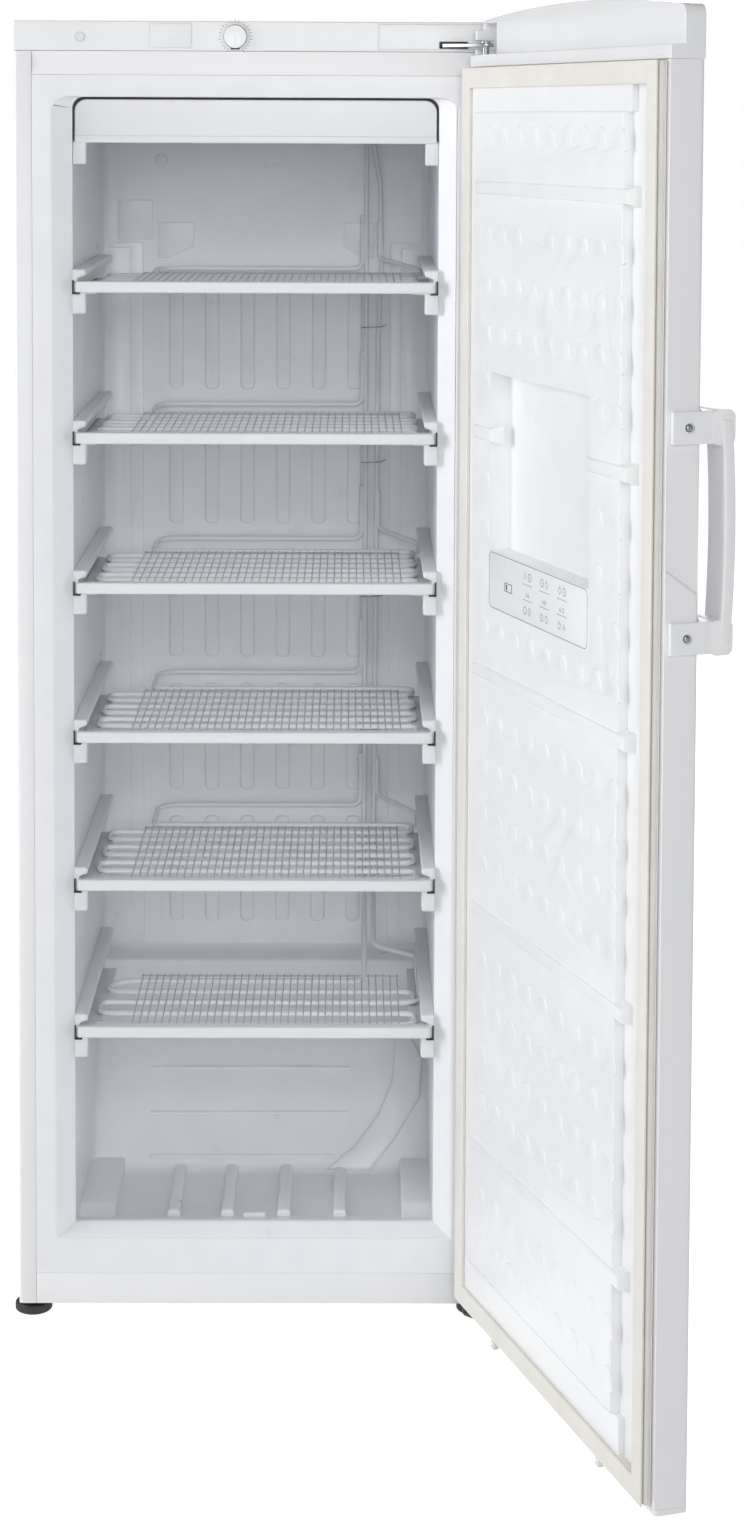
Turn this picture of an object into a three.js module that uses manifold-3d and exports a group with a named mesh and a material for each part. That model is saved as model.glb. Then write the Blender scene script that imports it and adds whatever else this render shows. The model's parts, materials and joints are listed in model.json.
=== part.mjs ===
// An upright freezer with its door open and its drawers taken out: a steel cabinet with a moulded
// liner, six evaporator shelves, a control strip, levelling feet and a foamed door with a side handle.
// Millimetres. X runs to the right, Y to the back and Z up. The front face of the cabinet is Y = 0
// and the floor is Z = 0 while the pieces are made; the finished group is then centred on its base.
import * as THREE from 'three';
import { mergeVertices } from 'three/addons/utils/BufferGeometryUtils.js';
import Module from 'manifold-3d';

const wasm = await Module();
wasm.setup();

// ---------------------------------------------------------------- driving dimensions
const GAP = 0.3; // left between pieces that touch
const SHEET = 1; // steel sheet
const PAN = 1.5; // base pan

const BODY = { width: 600, depth: 520, bottom: 18, top: 1651, corner: 4 };
const HALF = BODY.width / 2;
const FLANGE = { width: 22 }; // folded front edge of each side panel
const STRIP = { bottom: BODY.top - 37, depth: 40, wall: 2.5, front: 4 }; // control strip over the mouth
const TOP_RAIL = { bottom: STRIP.bottom - 30, thick: 3, hollow: 1.2 };
const BOTTOM_RAIL = { top: 58, thick: 3 };

const CAVITY = {
  half: HALF - 71, floor: 103, top: TOP_RAIL.bottom - 27, depth: BODY.depth - 75, corner: 14,
};
const HUMP = { foot: CAVITY.depth - 209, shoulder: CAVITY.depth - 55, height: 353 }; // over the compressor
const LINER = { wall: 3, flange: 3, collar: 20 };
const MOUTH = { half: CAVITY.half + 24, depth: 16, corner: 26 }; // bevel at both sides of the opening
const LINER_RIB = {
  proud: 3,
  half: 10,
  wall: { count: 6, pitch: 50, above: 20, below: 28 },
  base: { count: 4, pitch: 74, front: 70, back: 205 },
};
const MACHINE = { front: BODY.depth - 220, step: 62, crest: BODY.depth - 65, top: 330 }; // compressor room

const SHELF = { count: 6, top: CAVITY.top - 237, pitch: 190, trim: 14, depth: 19, front: 3 };
const ARM = { width: 17, back: CAVITY.depth - 33, above: 22, below: 27, block: 24 };
const TUBE = { radius: 3.5, runs: 7, pitch: 41, first: 42, reach: CAVITY.half - 24, sides: 6 };
const GRID = {
  half: TUBE.reach - 13, front: 30, back: 302, thick: 2, wire: 2, slots: 38, border: 4,
};
const COVER = {
  half: CAVITY.half - 3, bottom: CAVITY.top - 57, top: CAVITY.top - 3, front: 16, thick: 12, corner: 15,
};
const RISER = {
  radius: 3.2, left: CAVITY.half - 88, right: CAVITY.half - 67, top: COVER.bottom + 2, tap: 22,
};
const CEILING = { runs: 6, first: 96, pitch: 58, bend: 12 };

const DIAL = { x: -25, z: BODY.top - 19, radius: 14.3, ring: 17.5, proud: 5, shaft: 4 };
const LAMP = { x: -HALF + 82, z: BODY.top - 20, radius: 6 };
const BLANK = { x0: -131, x1: -79, z0: BODY.top - 33, z1: BODY.top - 3, thick: 1.5 };
const HINGE_COVER = {
  x0: HALF - 147, x1: HALF - 3, z0: BODY.top - 34, z1: BODY.top - 3, thick: 2,
};
const SLOT = { x0: HALF - 72, x1: HALF - 36, z0: BODY.top - 33, z1: BODY.top - 24 };

const HINGE = {
  x: HALF - 15.5, y: -28.5, pin: 4, eye: 10, plate: 4, open: THREE.MathUtils.degToRad(108),
};
const UPPER_ARM = { x0: HALF - 68, x1: HALF - 38, root: 66 };
const LOWER_ARM = { x0: HALF - 56, x1: HALF - 38, root: 52 };
const DOOR = { bottom: 35, top: STRIP.bottom - 19, face: -54, back: -14, corner: 6 };
const DOOR_LINER = {
  back: -11, panel: -3, half: HALF - 78, bottom: 105, top: CAVITY.top - 16, bevel: 6,
};
const RIB = {
  half: DOOR_LINER.half + 19, height: 24, proud: -0.6, bevel: 5,
  levels: [DOOR_LINER.top - 92, 859, 560, 262],
};
const POCKET = {
  x0: 97 - DOOR_LINER.half, x1: DOOR_LINER.half - 37, z0: 1012, z1: 1225, depth: 26, nub: 1151,
};
const LABEL = { height: 70, thick: 1.5 };
const GASKET = { outer: HALF - 7, width: 25, bottom: 48, top: DOOR.top - 1, shoulder: 8 };
const CAP = {
  ledge: DOOR.top + 15, back: -30, arch: BODY.top + 14, end: BODY.top + 2, corner: 12,
};
const NOTCH = { x0: HALF - 48, x1: HALF - 7, y0: -48, z1: BODY.top - 2 }; // room for the hinge
const PLUG = { x: HALF - 134, radius: 5, height: 6 };
const HANDLE = { bottom: 967, top: 1226, block: 35, plate: 6, reach: -92, bow: 5, width: 38 };
const SCREW = { y: -38, head: 4.5, shank: 2.2 };

const FOOT = { x: HALF - 16, y: 26, radius: 23.5, disc: 13, hub: 15 };
const REAR_FOOT = { x: HALF - 50, y: BODY.depth - 40, radius: 15 };
const COMPRESSOR = {
  x: -90, y: BODY.depth - 92, radius: 68, base: 28, shoulder: 118, top: 158, seat: [95, 50],
};
const TERMINALS = { near: -12, far: 22, half: 20, bottom: 60, top: 105, gland: 8 };
const CONDENSER = {
  half: HALF - 45, bottom: 370, runs: 10, pitch: 128, radius: 3, y: BODY.depth + 20,
  strap: HALF - 100, bar: 14, bend: 30,
};

// ---------------------------------------------------------------- finishes
const finish = (color, roughness, metalness = 0) =>
  new THREE.MeshStandardMaterial({ color, roughness, metalness });
const paintedSteel = finish('#e1e2e4', 0.4, 0.1);
const zincSteel = finish('#b9bcc0', 0.45, 0.9);
const whitePlastic = finish('#eceef0', 0.45);
const linerPlastic = finish('#dcdee4', 0.5);
const greyPlastic = finish('#cfd1d6', 0.5);
const foam = finish('#e8dfb4', 0.95);
const gasketRubber = finish('#ece9e0', 0.7);
const blackPlastic = finish('#24241f', 0.6);
const blackPaint = finish('#1d1e20', 0.5, 0.3);
const coatedTube = finish('#c3c6cc', 0.4, 0.3);
const labelFilm = finish('#e6e7ea', 0.35);
const chromedSteel = finish('#c8cacd', 0.2, 1);

// ---------------------------------------------------------------- shape helpers
// A closed body for joining and cutting, from any closed geometry.
function body(geometry) {
  const bare = geometry.clone();
  bare.deleteAttribute('normal');
  bare.deleteAttribute('uv');
  const merged = mergeVertices(bare, 1e-4);
  return new wasm.Manifold(new wasm.Mesh({
    numProp: 3,
    vertProperties: new Float32Array(merged.attributes.position.array),
    triVerts: new Uint32Array(merged.index.array),
  }));
}

function geometryOf(solid) {
  const { vertProperties, triVerts } = solid.getMesh();
  const geometry = new THREE.BufferGeometry();
  geometry.setAttribute('position', new THREE.BufferAttribute(vertProperties, 3));
  geometry.setIndex(new THREE.BufferAttribute(triVerts, 1));
  return geometry;
}

const joined = (...pieces) => pieces.map(body).reduce((all, piece) => all.add(piece));
const cut = (solid, ...tools) => tools.map(body).reduce((left, tool) => left.subtract(tool), solid);

function block(x0, x1, y0, y1, z0, z1) {
  const box = new THREE.BoxGeometry(x1 - x0, y1 - y0, z1 - z0);
  return box.translate((x0 + x1) / 2, (y0 + y1) / 2, (z0 + z1) / 2);
}

const outline = (points) => new THREE.Shape(points.map(([a, b]) => new THREE.Vector2(a, b)));
const extruded = (shape, depth, curveSegments = 4) =>
  new THREE.ExtrudeGeometry(shape, { depth, bevelEnabled: false, curveSegments });

// Prisms along the three axes: their outlines are given in XY, in YZ and in XZ.
const prismZ = (shape, z0, z1) => extruded(shape, z1 - z0).translate(0, 0, z0);
const prismX = (shape, x0, x1) =>
  extruded(shape, x1 - x0).applyMatrix4(new THREE.Matrix4().set(
    0, 0, 1, x0, 1, 0, 0, 0, 0, 1, 0, 0, 0, 0, 0, 1));
const prismY = (shape, y0, y1) => extruded(shape, y1 - y0).rotateX(Math.PI / 2).translate(0, y1, 0);

function roundedRectangle(a0, a1, b0, b1, radius) {
  const shape = new THREE.Shape();
  shape.moveTo(a0 + radius, b0);
  shape.lineTo(a1 - radius, b0);
  shape.absarc(a1 - radius, b0 + radius, radius, -Math.PI / 2, 0);
  shape.absarc(a1 - radius, b1 - radius, radius, 0, Math.PI / 2);
  shape.absarc(a0 + radius, b1 - radius, radius, Math.PI / 2, Math.PI);
  shape.absarc(a0 + radius, b0 + radius, radius, Math.PI, Math.PI * 1.5);
  return shape;
}

// A box that narrows by `inset` on all four sides towards its back, y1.
function taperedBlock(x0, x1, y0, y1, z0, z1, inset) {
  const box = block(x0, x1, y0, y1, z0, z1);
  const place = box.attributes.position;
  const middle = new THREE.Vector3((x0 + x1) / 2, (y0 + y1) / 2, (z0 + z1) / 2);
  for (let i = 0; i < place.count; i += 1) {
    if (place.getY(i) > middle.y) {
      place.setX(i, place.getX(i) - Math.sign(place.getX(i) - middle.x) * inset);
      place.setZ(i, place.getZ(i) - Math.sign(place.getZ(i) - middle.z) * inset);
    }
  }
  return box;
}

const rodZ = (x, y, radius, z0, z1, sides = 12) =>
  new THREE.CylinderGeometry(radius, radius, z1 - z0, sides)
    .rotateX(Math.PI / 2).translate(x, y, (z0 + z1) / 2);
const rodY = (x, z, radius, y0, y1, sides = 16) =>
  new THREE.CylinderGeometry(radius, radius, y1 - y0, sides).translate(x, (y0 + y1) / 2, z);
const rodX = (y, z, radius, x0, x1, sides = 12) =>
  new THREE.CylinderGeometry(radius, radius, x1 - x0, sides)
    .rotateZ(Math.PI / 2).translate((x0 + x1) / 2, y, z);

// A turned piece about a vertical axis; the profile is a list of [radius, height].
const turned = (profile, x, y, segments = 16) =>
  new THREE.LatheGeometry(profile.map(([r, z]) => new THREE.Vector2(r, z)), segments)
    .rotateX(Math.PI / 2).translate(x, y, 0);

// A path through given points, with one tube section at each of them.
class PointPath extends THREE.Curve {
  constructor(points) {
    super();
    this.points = points;
  }

  at(u) {
    return Math.round(u * (this.points.length - 1));
  }

  getPointAt(u, target = new THREE.Vector3()) {
    return target.copy(this.points[this.at(u)]);
  }

  getTangentAt(u, target = new THREE.Vector3()) {
    const i = this.at(u);
    const before = this.points[Math.max(i - 1, 0)];
    const after = this.points[Math.min(i + 1, this.points.length - 1)];
    const here = this.points[i];
    const inward = i > 0 ? here.clone().sub(before).normalize() : new THREE.Vector3();
    const outward = i < this.points.length - 1 ? after.clone().sub(here).normalize() : new THREE.Vector3();
    return target.copy(inward.add(outward).normalize());
  }
}

// Points along a bent tube: straight between corners, with an arc of `radius` at each corner.
function bentRoute(corners, radius, steps = 3) {
  const points = [corners[0]];
  for (let i = 1; i < corners.length - 1; i += 1) {
    const inward = corners[i].clone().sub(corners[i - 1]).normalize();
    const outward = corners[i + 1].clone().sub(corners[i]).normalize();
    const turn = inward.angleTo(outward);
    const trim = radius * Math.tan(turn / 2);
    const centre = corners[i].clone().addScaledVector(inward, -trim)
      .addScaledVector(outward.clone().addScaledVector(inward, -outward.dot(inward)).normalize(), radius);
    const spoke = corners[i].clone().addScaledVector(inward, -trim).sub(centre);
    const axis = inward.clone().cross(outward).normalize();
    for (let step = 0; step <= steps; step += 1) {
      const arm = spoke.clone().applyAxisAngle(axis, (turn * step) / steps);
      points.push(centre.clone().add(arm));
    }
  }
  points.push(corners.at(-1));
  const nearest = 1e-3;
  return points.filter((point, i) => i === 0 || point.distanceTo(points[i - 1]) > nearest);
}

function tube(corners, radius, bend, sides = TUBE.sides) {
  const points = bentRoute(corners.map((corner) => new THREE.Vector3(...corner)), bend);
  const section = new THREE.Shape();
  for (let i = 0; i < sides; i += 1) {
    const angle = (i / sides) * Math.PI * 2;
    section[i ? 'lineTo' : 'moveTo'](Math.cos(angle) * radius, Math.sin(angle) * radius);
  }
  return new THREE.ExtrudeGeometry(section, {
    steps: points.length - 1,
    extrudePath: new PointPath(points),
    bevelEnabled: false,
  });
}

// ---------------------------------------------------------------- the assembly
const freezer = new THREE.Group();
const door = new THREE.Group();
door.position.set(HINGE.x, HINGE.y, 0);
door.rotation.z = HINGE.open;
freezer.add(door);

function add(name, shape, material) {
  const mesh = new THREE.Mesh(shape instanceof THREE.BufferGeometry ? shape : geometryOf(shape), material);
  mesh.name = name;
  freezer.add(mesh);
}

// Door pieces are drawn where they lie with the door shut; the door's group turns about the hinge.
function addToDoor(name, shape, material) {
  const geometry = shape instanceof THREE.BufferGeometry ? shape : geometryOf(shape);
  const mesh = new THREE.Mesh(geometry, material);
  mesh.name = name;
  mesh.position.set(-HINGE.x, -HINGE.y, 0);
  door.add(mesh);
}

const shelfHeight = (level) => SHELF.top - (level - 1) * SHELF.pitch;
const pipeLane = CAVITY.depth - LINER_RIB.proud - GAP; // pipes on the back wall pass in front of its ribs

// ---------------------------------------------------------------- cabinet shell
// One side panel with its rounded front corner and folded front flange; side is -1 or 1.
function sidePanel(side) {
  const { corner, depth } = BODY;
  const steps = 4;
  const bend = (radius) => Array.from({ length: steps + 1 }, (_, i) => {
    const angle = (i / steps) * (Math.PI / 2);
    return [HALF - corner + radius * Math.sin(angle), corner - radius * Math.cos(angle)];
  });
  const points = [
    [HALF - FLANGE.width, 0], ...bend(corner), [HALF, depth], [HALF - SHEET, depth],
    ...bend(corner - SHEET).reverse(), [HALF - FLANGE.width, SHEET],
  ];
  const profile = outline(points.map(([x, y]) => [side * x, y]));
  return prismZ(profile, BODY.bottom, STRIP.bottom - GAP);
}

function worktop() {
  const wall = 4;
  const top = block(-HALF, HALF, STRIP.depth + GAP, BODY.depth, STRIP.bottom, BODY.top);
  const inside = block(
    -HALF + wall, HALF - wall, STRIP.depth - wall, BODY.depth - wall, STRIP.bottom - wall, BODY.top - wall);
  return cut(body(top), inside);
}

function topRail() {
  const half = HALF - FLANGE.width - GAP;
  const z0 = TOP_RAIL.bottom + GAP;
  const z1 = STRIP.bottom - GAP;
  const profile = outline([
    [0, z0], [TOP_RAIL.thick, z0], [TOP_RAIL.thick, z1], [0, z1],
    [TOP_RAIL.hollow, z0 * 0.3 + z1 * 0.7], [TOP_RAIL.hollow, z0 * 0.7 + z1 * 0.3],
  ]);
  return prismX(profile, -half, half);
}

function bottomRail() {
  const half = HALF - FLANGE.width - GAP;
  return block(-half, half, 0, BOTTOM_RAIL.thick, BODY.bottom, BOTTOM_RAIL.top - GAP);
}

// The space inside the liner: a rounded mouth and, low at the back, the hump over the compressor.
function cavity() {
  const { half, floor, top, depth, corner } = CAVITY;
  const side = outline([
    [-1, floor], [HUMP.foot, floor], [HUMP.shoulder, HUMP.height - 1], [depth, HUMP.height],
    [depth, top], [-1, top],
  ]);
  const mouth = roundedRectangle(-half, half, floor, top, corner);
  const bevel = outline([
    [-MOUTH.half - 1.5, -1], [MOUTH.half + 1.5, -1], [half, MOUTH.depth], [-half, MOUTH.depth],
  ]);
  const bevelEnds = roundedRectangle(-MOUTH.half - 2, MOUTH.half + 2, floor, top, MOUTH.corner);
  const room = body(prismX(side, -half, half)).intersect(body(prismY(mouth, -1, depth)));
  const flare = body(prismZ(bevel, floor, top)).intersect(body(prismY(bevelEnds, -1, MOUTH.depth)));
  return room.add(flare);
}

// The liner's outside, grown by `extra` where it is the cutter for the foam round it.
function linerOutside(extra) {
  const wall = LINER.wall + extra;
  const { half, floor, top, depth } = CAVITY;
  const slope = (HUMP.shoulder - HUMP.foot) / (HUMP.height - floor);
  const tub = outline([
    [0, floor - wall], [HUMP.foot + wall * slope, floor - wall], [HUMP.shoulder + wall, HUMP.height - wall],
    [depth + wall, HUMP.height - wall], [depth + wall, top + wall], [0, top + wall],
  ]);
  const collar = block(
    -MOUTH.half - wall, MOUTH.half + wall, 0, LINER.collar + extra, floor - wall, top + wall);
  return joined(prismX(tub, -half - wall, half + wall), collar);
}

// Raised moulded detail inside the liner: wall ribs in each compartment and floor ribs.
function linerRibs() {
  const ribs = [];
  const { proud, half, wall, base } = LINER_RIB;
  for (let column = 0; column < wall.count; column += 1) {
    const x = (column - (wall.count - 1) / 2) * wall.pitch;
    for (let level = 1; level < SHELF.count; level += 1) {
      const z0 = shelfHeight(level + 1) + wall.above;
      const z1 = shelfHeight(level) - wall.below;
      ribs.push(block(x - half, x + half, CAVITY.depth - proud, CAVITY.depth + 1, z0, z1));
    }
  }
  for (let column = 0; column < base.count; column += 1) {
    const x = (column - (base.count - 1) / 2) * base.pitch;
    ribs.push(block(x - half, x + half, base.front, base.back, CAVITY.floor - 1, CAVITY.floor + proud));
  }
  return ribs;
}

function innerLiner() {
  const half = HALF - FLANGE.width - GAP;
  const flange = block(-half, half, 0, LINER.flange, BOTTOM_RAIL.top, TOP_RAIL.bottom);
  const shell = linerOutside(0).add(body(flange)).subtract(cavity());
  return linerRibs().reduce((solid, rib) => solid.add(body(rib)), shell);
}

// The compressor compartment seen from the side, `inset` away from its steel wall.
function compartment(inset) {
  const { front, step, crest, top } = MACHINE;
  return outline([
    [front + inset, 0], [front + inset, step - inset * 0.5], [crest + inset, top - inset],
    [BODY.depth + 1, top - inset], [BODY.depth + 1, 0],
  ]);
}

function insulation() {
  const half = HALF - SHEET - GAP;
  const front = LINER.flange + GAP;
  const back = BODY.depth - SHEET - GAP;
  const floor = BODY.bottom + PAN + GAP;
  const filled = body(block(-half, half, front, back, floor, STRIP.bottom - 2 * GAP));
  const machine = prismX(compartment(-GAP), -half - 1, half + 1);
  return cut(filled, machine).subtract(linerOutside(GAP));
}

function compartmentSheet() {
  const half = HALF - SHEET - 2 * GAP;
  const outer = body(prismX(compartment(0), -half, half));
  const inner = body(prismX(compartment(SHEET), -half - 1, half + 1));
  const kept = block(-half, half, 0, BODY.depth - SHEET - GAP, BODY.bottom + PAN + GAP, MACHINE.top + 1);
  return outer.subtract(inner).intersect(body(kept));
}

add('side_panel_left', sidePanel(-1), paintedSteel);
add('side_panel_right', sidePanel(1), paintedSteel);
add('top_panel', worktop(), whitePlastic);
add('back_panel', block(-HALF + SHEET + GAP, HALF - SHEET - GAP, BODY.depth - SHEET, BODY.depth,
  MACHINE.top, STRIP.bottom - GAP), zincSteel);
add('base_pan', block(-HALF + SHEET + GAP, HALF - SHEET - GAP, BOTTOM_RAIL.thick + GAP, BODY.depth,
  BODY.bottom, BODY.bottom + PAN), zincSteel);
add('front_top_rail', topRail(), paintedSteel);
add('front_bottom_rail', bottomRail(), paintedSteel);
add('inner_liner', innerLiner(), linerPlastic);
add('insulation_foam', insulation(), foam);
add('compartment_sheet', compartmentSheet(), zincSteel);

// ---------------------------------------------------------------- control strip
function controlFascia() {
  const { bottom, depth, wall, front } = STRIP;
  const shell = cut(
    body(block(-HALF, HALF, 0, depth, bottom, BODY.top)),
    block(-HALF + wall, HALF - wall, front, depth + 1, bottom + wall, BODY.top - wall));
  const cover = HINGE_COVER;
  return cut(
    shell,
    rodY(DIAL.x, DIAL.z, DIAL.ring + GAP, -1, front + 1, 24),
    rodY(LAMP.x, LAMP.z, LAMP.radius + GAP, -1, front + 1),
    block(BLANK.x0 - GAP, BLANK.x1 + GAP, -1, BLANK.thick, BLANK.z0 - GAP, BLANK.z1 + GAP),
    block(cover.x0 - GAP, cover.x1 + GAP, -1, cover.thick + GAP, cover.z0 - GAP, cover.z1 + GAP),
    block(SLOT.x0 - 4, SLOT.x1 + 4, -1, front + 1, cover.z0 + 1, SLOT.z1 + 3));
}

function hingeCover() {
  const { x0, x1, z0, z1, thick } = HINGE_COVER;
  const slot = block(SLOT.x0, SLOT.x1, -1, thick + 1, SLOT.z0, SLOT.z1);
  return cut(body(block(x0, x1, 0, thick, z0, z1)), slot);
}

// A ring round the dial, left open at the bottom.
function dialBezel() {
  const opening = 0.36;
  const from = -Math.PI / 2 + opening;
  const to = Math.PI * 1.5 - opening;
  const ring = new THREE.Shape();
  ring.absarc(0, 0, DIAL.ring, from, to, false);
  ring.absarc(0, 0, DIAL.radius + 2 * GAP, to, from, true);
  return extruded(ring, STRIP.front + 1, 20).rotateX(Math.PI / 2).translate(DIAL.x, STRIP.front, DIAL.z);
}

function thermostatDial() {
  const { x, z, radius, proud } = DIAL;
  const knob = rodY(x, z, radius, -proud, STRIP.front - GAP, 24);
  const shaft = rodY(x, z, DIAL.shaft, 0, 14);
  const coinSlot = block(x - 1.5, x + 1.5, -proud - 1, -proud + 2, z - 11, z + 11);
  return cut(joined(knob, shaft), coinSlot);
}

function thermostatBody() {
  const housing = block(DIAL.x - 21, DIAL.x + 21, STRIP.front + GAP, 34, STRIP.bottom + 2.8, BODY.top - 4);
  return cut(body(housing), rodY(DIAL.x, DIAL.z, DIAL.shaft + 0.5, 0, 15));
}

function blankPlate() {
  const { x0, x1, z0, z1, thick } = BLANK;
  return prismY(roundedRectangle(x0, x1, z0, z1, 3), -0.3, thick - GAP);
}

add('control_fascia', controlFascia(), whitePlastic);
add('hinge_cover', hingeCover(), whitePlastic);
add('dial_bezel', dialBezel(), greyPlastic);
add('thermostat_dial', thermostatDial(), whitePlastic);
add('thermostat_body', thermostatBody(), blackPlastic);
add('pilot_lamp', rodY(LAMP.x, LAMP.z, LAMP.radius, -0.8, STRIP.front + 2), greyPlastic);
add('blank_plate', blankPlate(), whitePlastic);

// ---------------------------------------------------------------- hinges
// A flat arm from the cabinet to an eye round the hinge pin; root is its edge in the cabinet.
function hingeArm({ x0, x1, root }, z0) {
  const arm = new THREE.Shape();
  arm.moveTo(x0, root);
  arm.lineTo(x0, -2);
  arm.absarc(HINGE.x, HINGE.y, HINGE.eye, Math.PI * 1.3, Math.PI * 2.25);
  arm.lineTo(x1, -1);
  arm.lineTo(x1, root);
  const bore = rodZ(HINGE.x, HINGE.y, HINGE.pin + GAP, z0 - 1, z0 + HINGE.plate + 1);
  return cut(body(prismZ(arm, z0, z0 + HINGE.plate)), bore);
}

const upperPlate = SLOT.z0 + 2;

function upperHingeBracket() {
  const { x0, x1, root } = UPPER_ARM;
  const tail = block(x0, x1, STRIP.depth + 2, root, STRIP.bottom, upperPlate + HINGE.plate);
  return hingeArm(UPPER_ARM, upperPlate).add(body(tail));
}

function hingePin(stops) {
  return turned(stops, HINGE.x, HINGE.y, 12);
}

const upperPin = [
  [0, DOOR.top + 4], [HINGE.pin, DOOR.top + 4], [HINGE.pin, upperPlate + HINGE.plate + GAP],
  [HINGE.pin + 2.5, upperPlate + HINGE.plate + GAP], [HINGE.pin + 2.5, upperPlate + HINGE.plate + 3],
  [0, upperPlate + HINGE.plate + 3],
];
const lowerPlate = BODY.bottom - GAP - HINGE.plate;
const doorUnderside = DOOR.bottom - 7;
const lowerPin = [
  [0, lowerPlate], [HINGE.pin, lowerPlate], [HINGE.pin, BODY.bottom], [HINGE.pin + 3, BODY.bottom],
  [HINGE.pin + 3, doorUnderside - GAP], [HINGE.pin, doorUnderside - GAP],
  [HINGE.pin, DOOR.bottom - GAP], [0, DOOR.bottom - GAP],
];
add('upper_hinge_bracket', upperHingeBracket(), zincSteel);
add('upper_hinge_pin', hingePin(upperPin), chromedSteel);
add('lower_hinge_bracket', hingeArm(LOWER_ARM, lowerPlate), zincSteel);
add('lower_hinge_pin', hingePin(lowerPin), chromedSteel);

// ---------------------------------------------------------------- inside the cavity
function evaporatorCover() {
  const { half, bottom, top, front, thick, corner } = COVER;
  const face = prismY(roundedRectangle(-half, half, bottom, top, corner), front, front + thick);
  const square = block(-half, half, front, front + thick, bottom, bottom + corner + 1);
  const tabs = [76 - half, half - 76].map((x) =>
    block(x - 15, x + 15, front + thick - 1, front + 45, top - 14, CAVITY.top - GAP));
  const blocks = [-1, 1].map((side) => {
    const inner = side * (CAVITY.half - ARM.width);
    const outer = side * (CAVITY.half - GAP);
    const x = [Math.min(inner, outer), Math.max(inner, outer)];
    return block(x[0], x[1], front, front + ARM.block, bottom - ARM.below, bottom + 1);
  });
  return joined(face, square, ...tabs, ...blocks);
}

const tubeDrop = 1; // tube centre below the middle of the trim

// A shelf's front trim, the drawer guides along both walls and the ledges that carry the tubes.
function shelfFrame(level) {
  const z = shelfHeight(level);
  const low = z - SHELF.trim / 2;
  const high = z + SHELF.trim / 2;
  const { front, depth } = SHELF;
  const trimEnd = CAVITY.half - GAP;
  const trim = prismZ(outline([
    [-trimEnd, front + 5], [-trimEnd + 5, front], [trimEnd - 5, front], [trimEnd, front + 5],
    [trimEnd, front + depth], [-trimEnd, front + depth],
  ]), low, high);
  const pieces = [trim];
  const ledgeTop = z - tubeDrop - TUBE.radius - GAP;
  [-1, 1].forEach((side) => {
    const span = (inner) => [side * inner, side * trimEnd].sort((a, b) => a - b);
    const arm = span(CAVITY.half - ARM.width);
    const ledge = span(TUBE.reach - 6);
    const y = front + 5;
    pieces.push(block(arm[0], arm[1], y, ARM.back, z + 3, z + ARM.above));
    pieces.push(block(arm[0], arm[1], y, y + ARM.block, low - ARM.below, z));
    pieces.push(block(arm[0], arm[1], y, GRID.back, ledgeTop - 4, z + 4));
    pieces.push(block(ledge[0], ledge[1], y, GRID.back, ledgeTop - 4, ledgeTop));
  });
  return joined(...pieces);
}

// A serpentine tube that fills one shelf and then runs to the riser that feeds it.
function evaporatorTube(level) {
  const z = shelfHeight(level) - tubeDrop;
  const corners = [];
  for (let run = 0; run < TUBE.runs; run += 1) {
    const y = TUBE.first + run * TUBE.pitch;
    const side = run % 2 ? 1 : -1;
    corners.push([side * TUBE.reach, y, z], [-side * TUBE.reach, y, z]);
  }
  const wall = pipeLane - TUBE.radius;
  const right = level % 2 === 1;
  const rib = LINER_RIB.wall;
  const ribSide = ((rib.count - 1) / 2) * rib.pitch - LINER_RIB.half; // the left pipe rests on the last rib
  const lane = right ? TUBE.reach : ribSide;
  const riser = right ? RISER.right + RISER.radius + GAP : RISER.left - RISER.radius - GAP;
  corners.at(-1)[0] = lane;
  corners.push([lane, wall, z], [lane, wall, z + RISER.tap], [riser, wall, z + RISER.tap]);
  return tube(corners, TUBE.radius, 9.5);
}

// Front-to-back wires over the tube, welded to a bar at the front and one at the back.
function wireGrid(level) {
  const z = shelfHeight(level) - tubeDrop + TUBE.radius + GAP;
  const { half, front, back, thick, wire, slots, border } = GRID;
  const pitch = (2 * half - wire) / slots;
  const gaps = Array.from({ length: slots }, (_, i) => {
    const x = -half + wire + i * pitch;
    return block(x, x + pitch - wire, front + border, back - border, z - 1, z + thick + 1);
  });
  return cut(body(block(-half, half, front, back, z, z + thick)), ...gaps);
}

// Riser pipes on the back wall, from the ceiling down to a turn above the lowest shelf.
function riserPipe(x) {
  const wall = pipeLane - RISER.radius;
  const low = HUMP.height + 24;
  return tube([[x, wall, RISER.top], [x, wall, low], [x, wall - 110, low]], RISER.radius, 12);
}

function ceilingEvaporator() {
  const z = CAVITY.top - TUBE.radius - GAP;
  const corners = [];
  for (let run = 0; run < CEILING.runs; run += 1) {
    const y = CEILING.first + run * CEILING.pitch;
    const side = run % 2 ? 1 : -1;
    corners.push([side * TUBE.reach, y, z], [-side * TUBE.reach, y, z]);
  }
  return tube(corners, TUBE.radius, CEILING.bend);
}

add('evaporator_front_cover', evaporatorCover(), greyPlastic);
add('ceiling_evaporator', ceilingEvaporator(), coatedTube);
for (let level = 1; level <= SHELF.count; level += 1) {
  add(`shelf_frame_${level}`, shelfFrame(level), greyPlastic);
  add(`evaporator_tube_${level}`, evaporatorTube(level), coatedTube);
  add(`wire_grid_${level}`, wireGrid(level), coatedTube);
}
add('riser_pipe_left', riserPipe(RISER.left), coatedTube);
add('riser_pipe_right', riserPipe(RISER.right), coatedTube);

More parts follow.
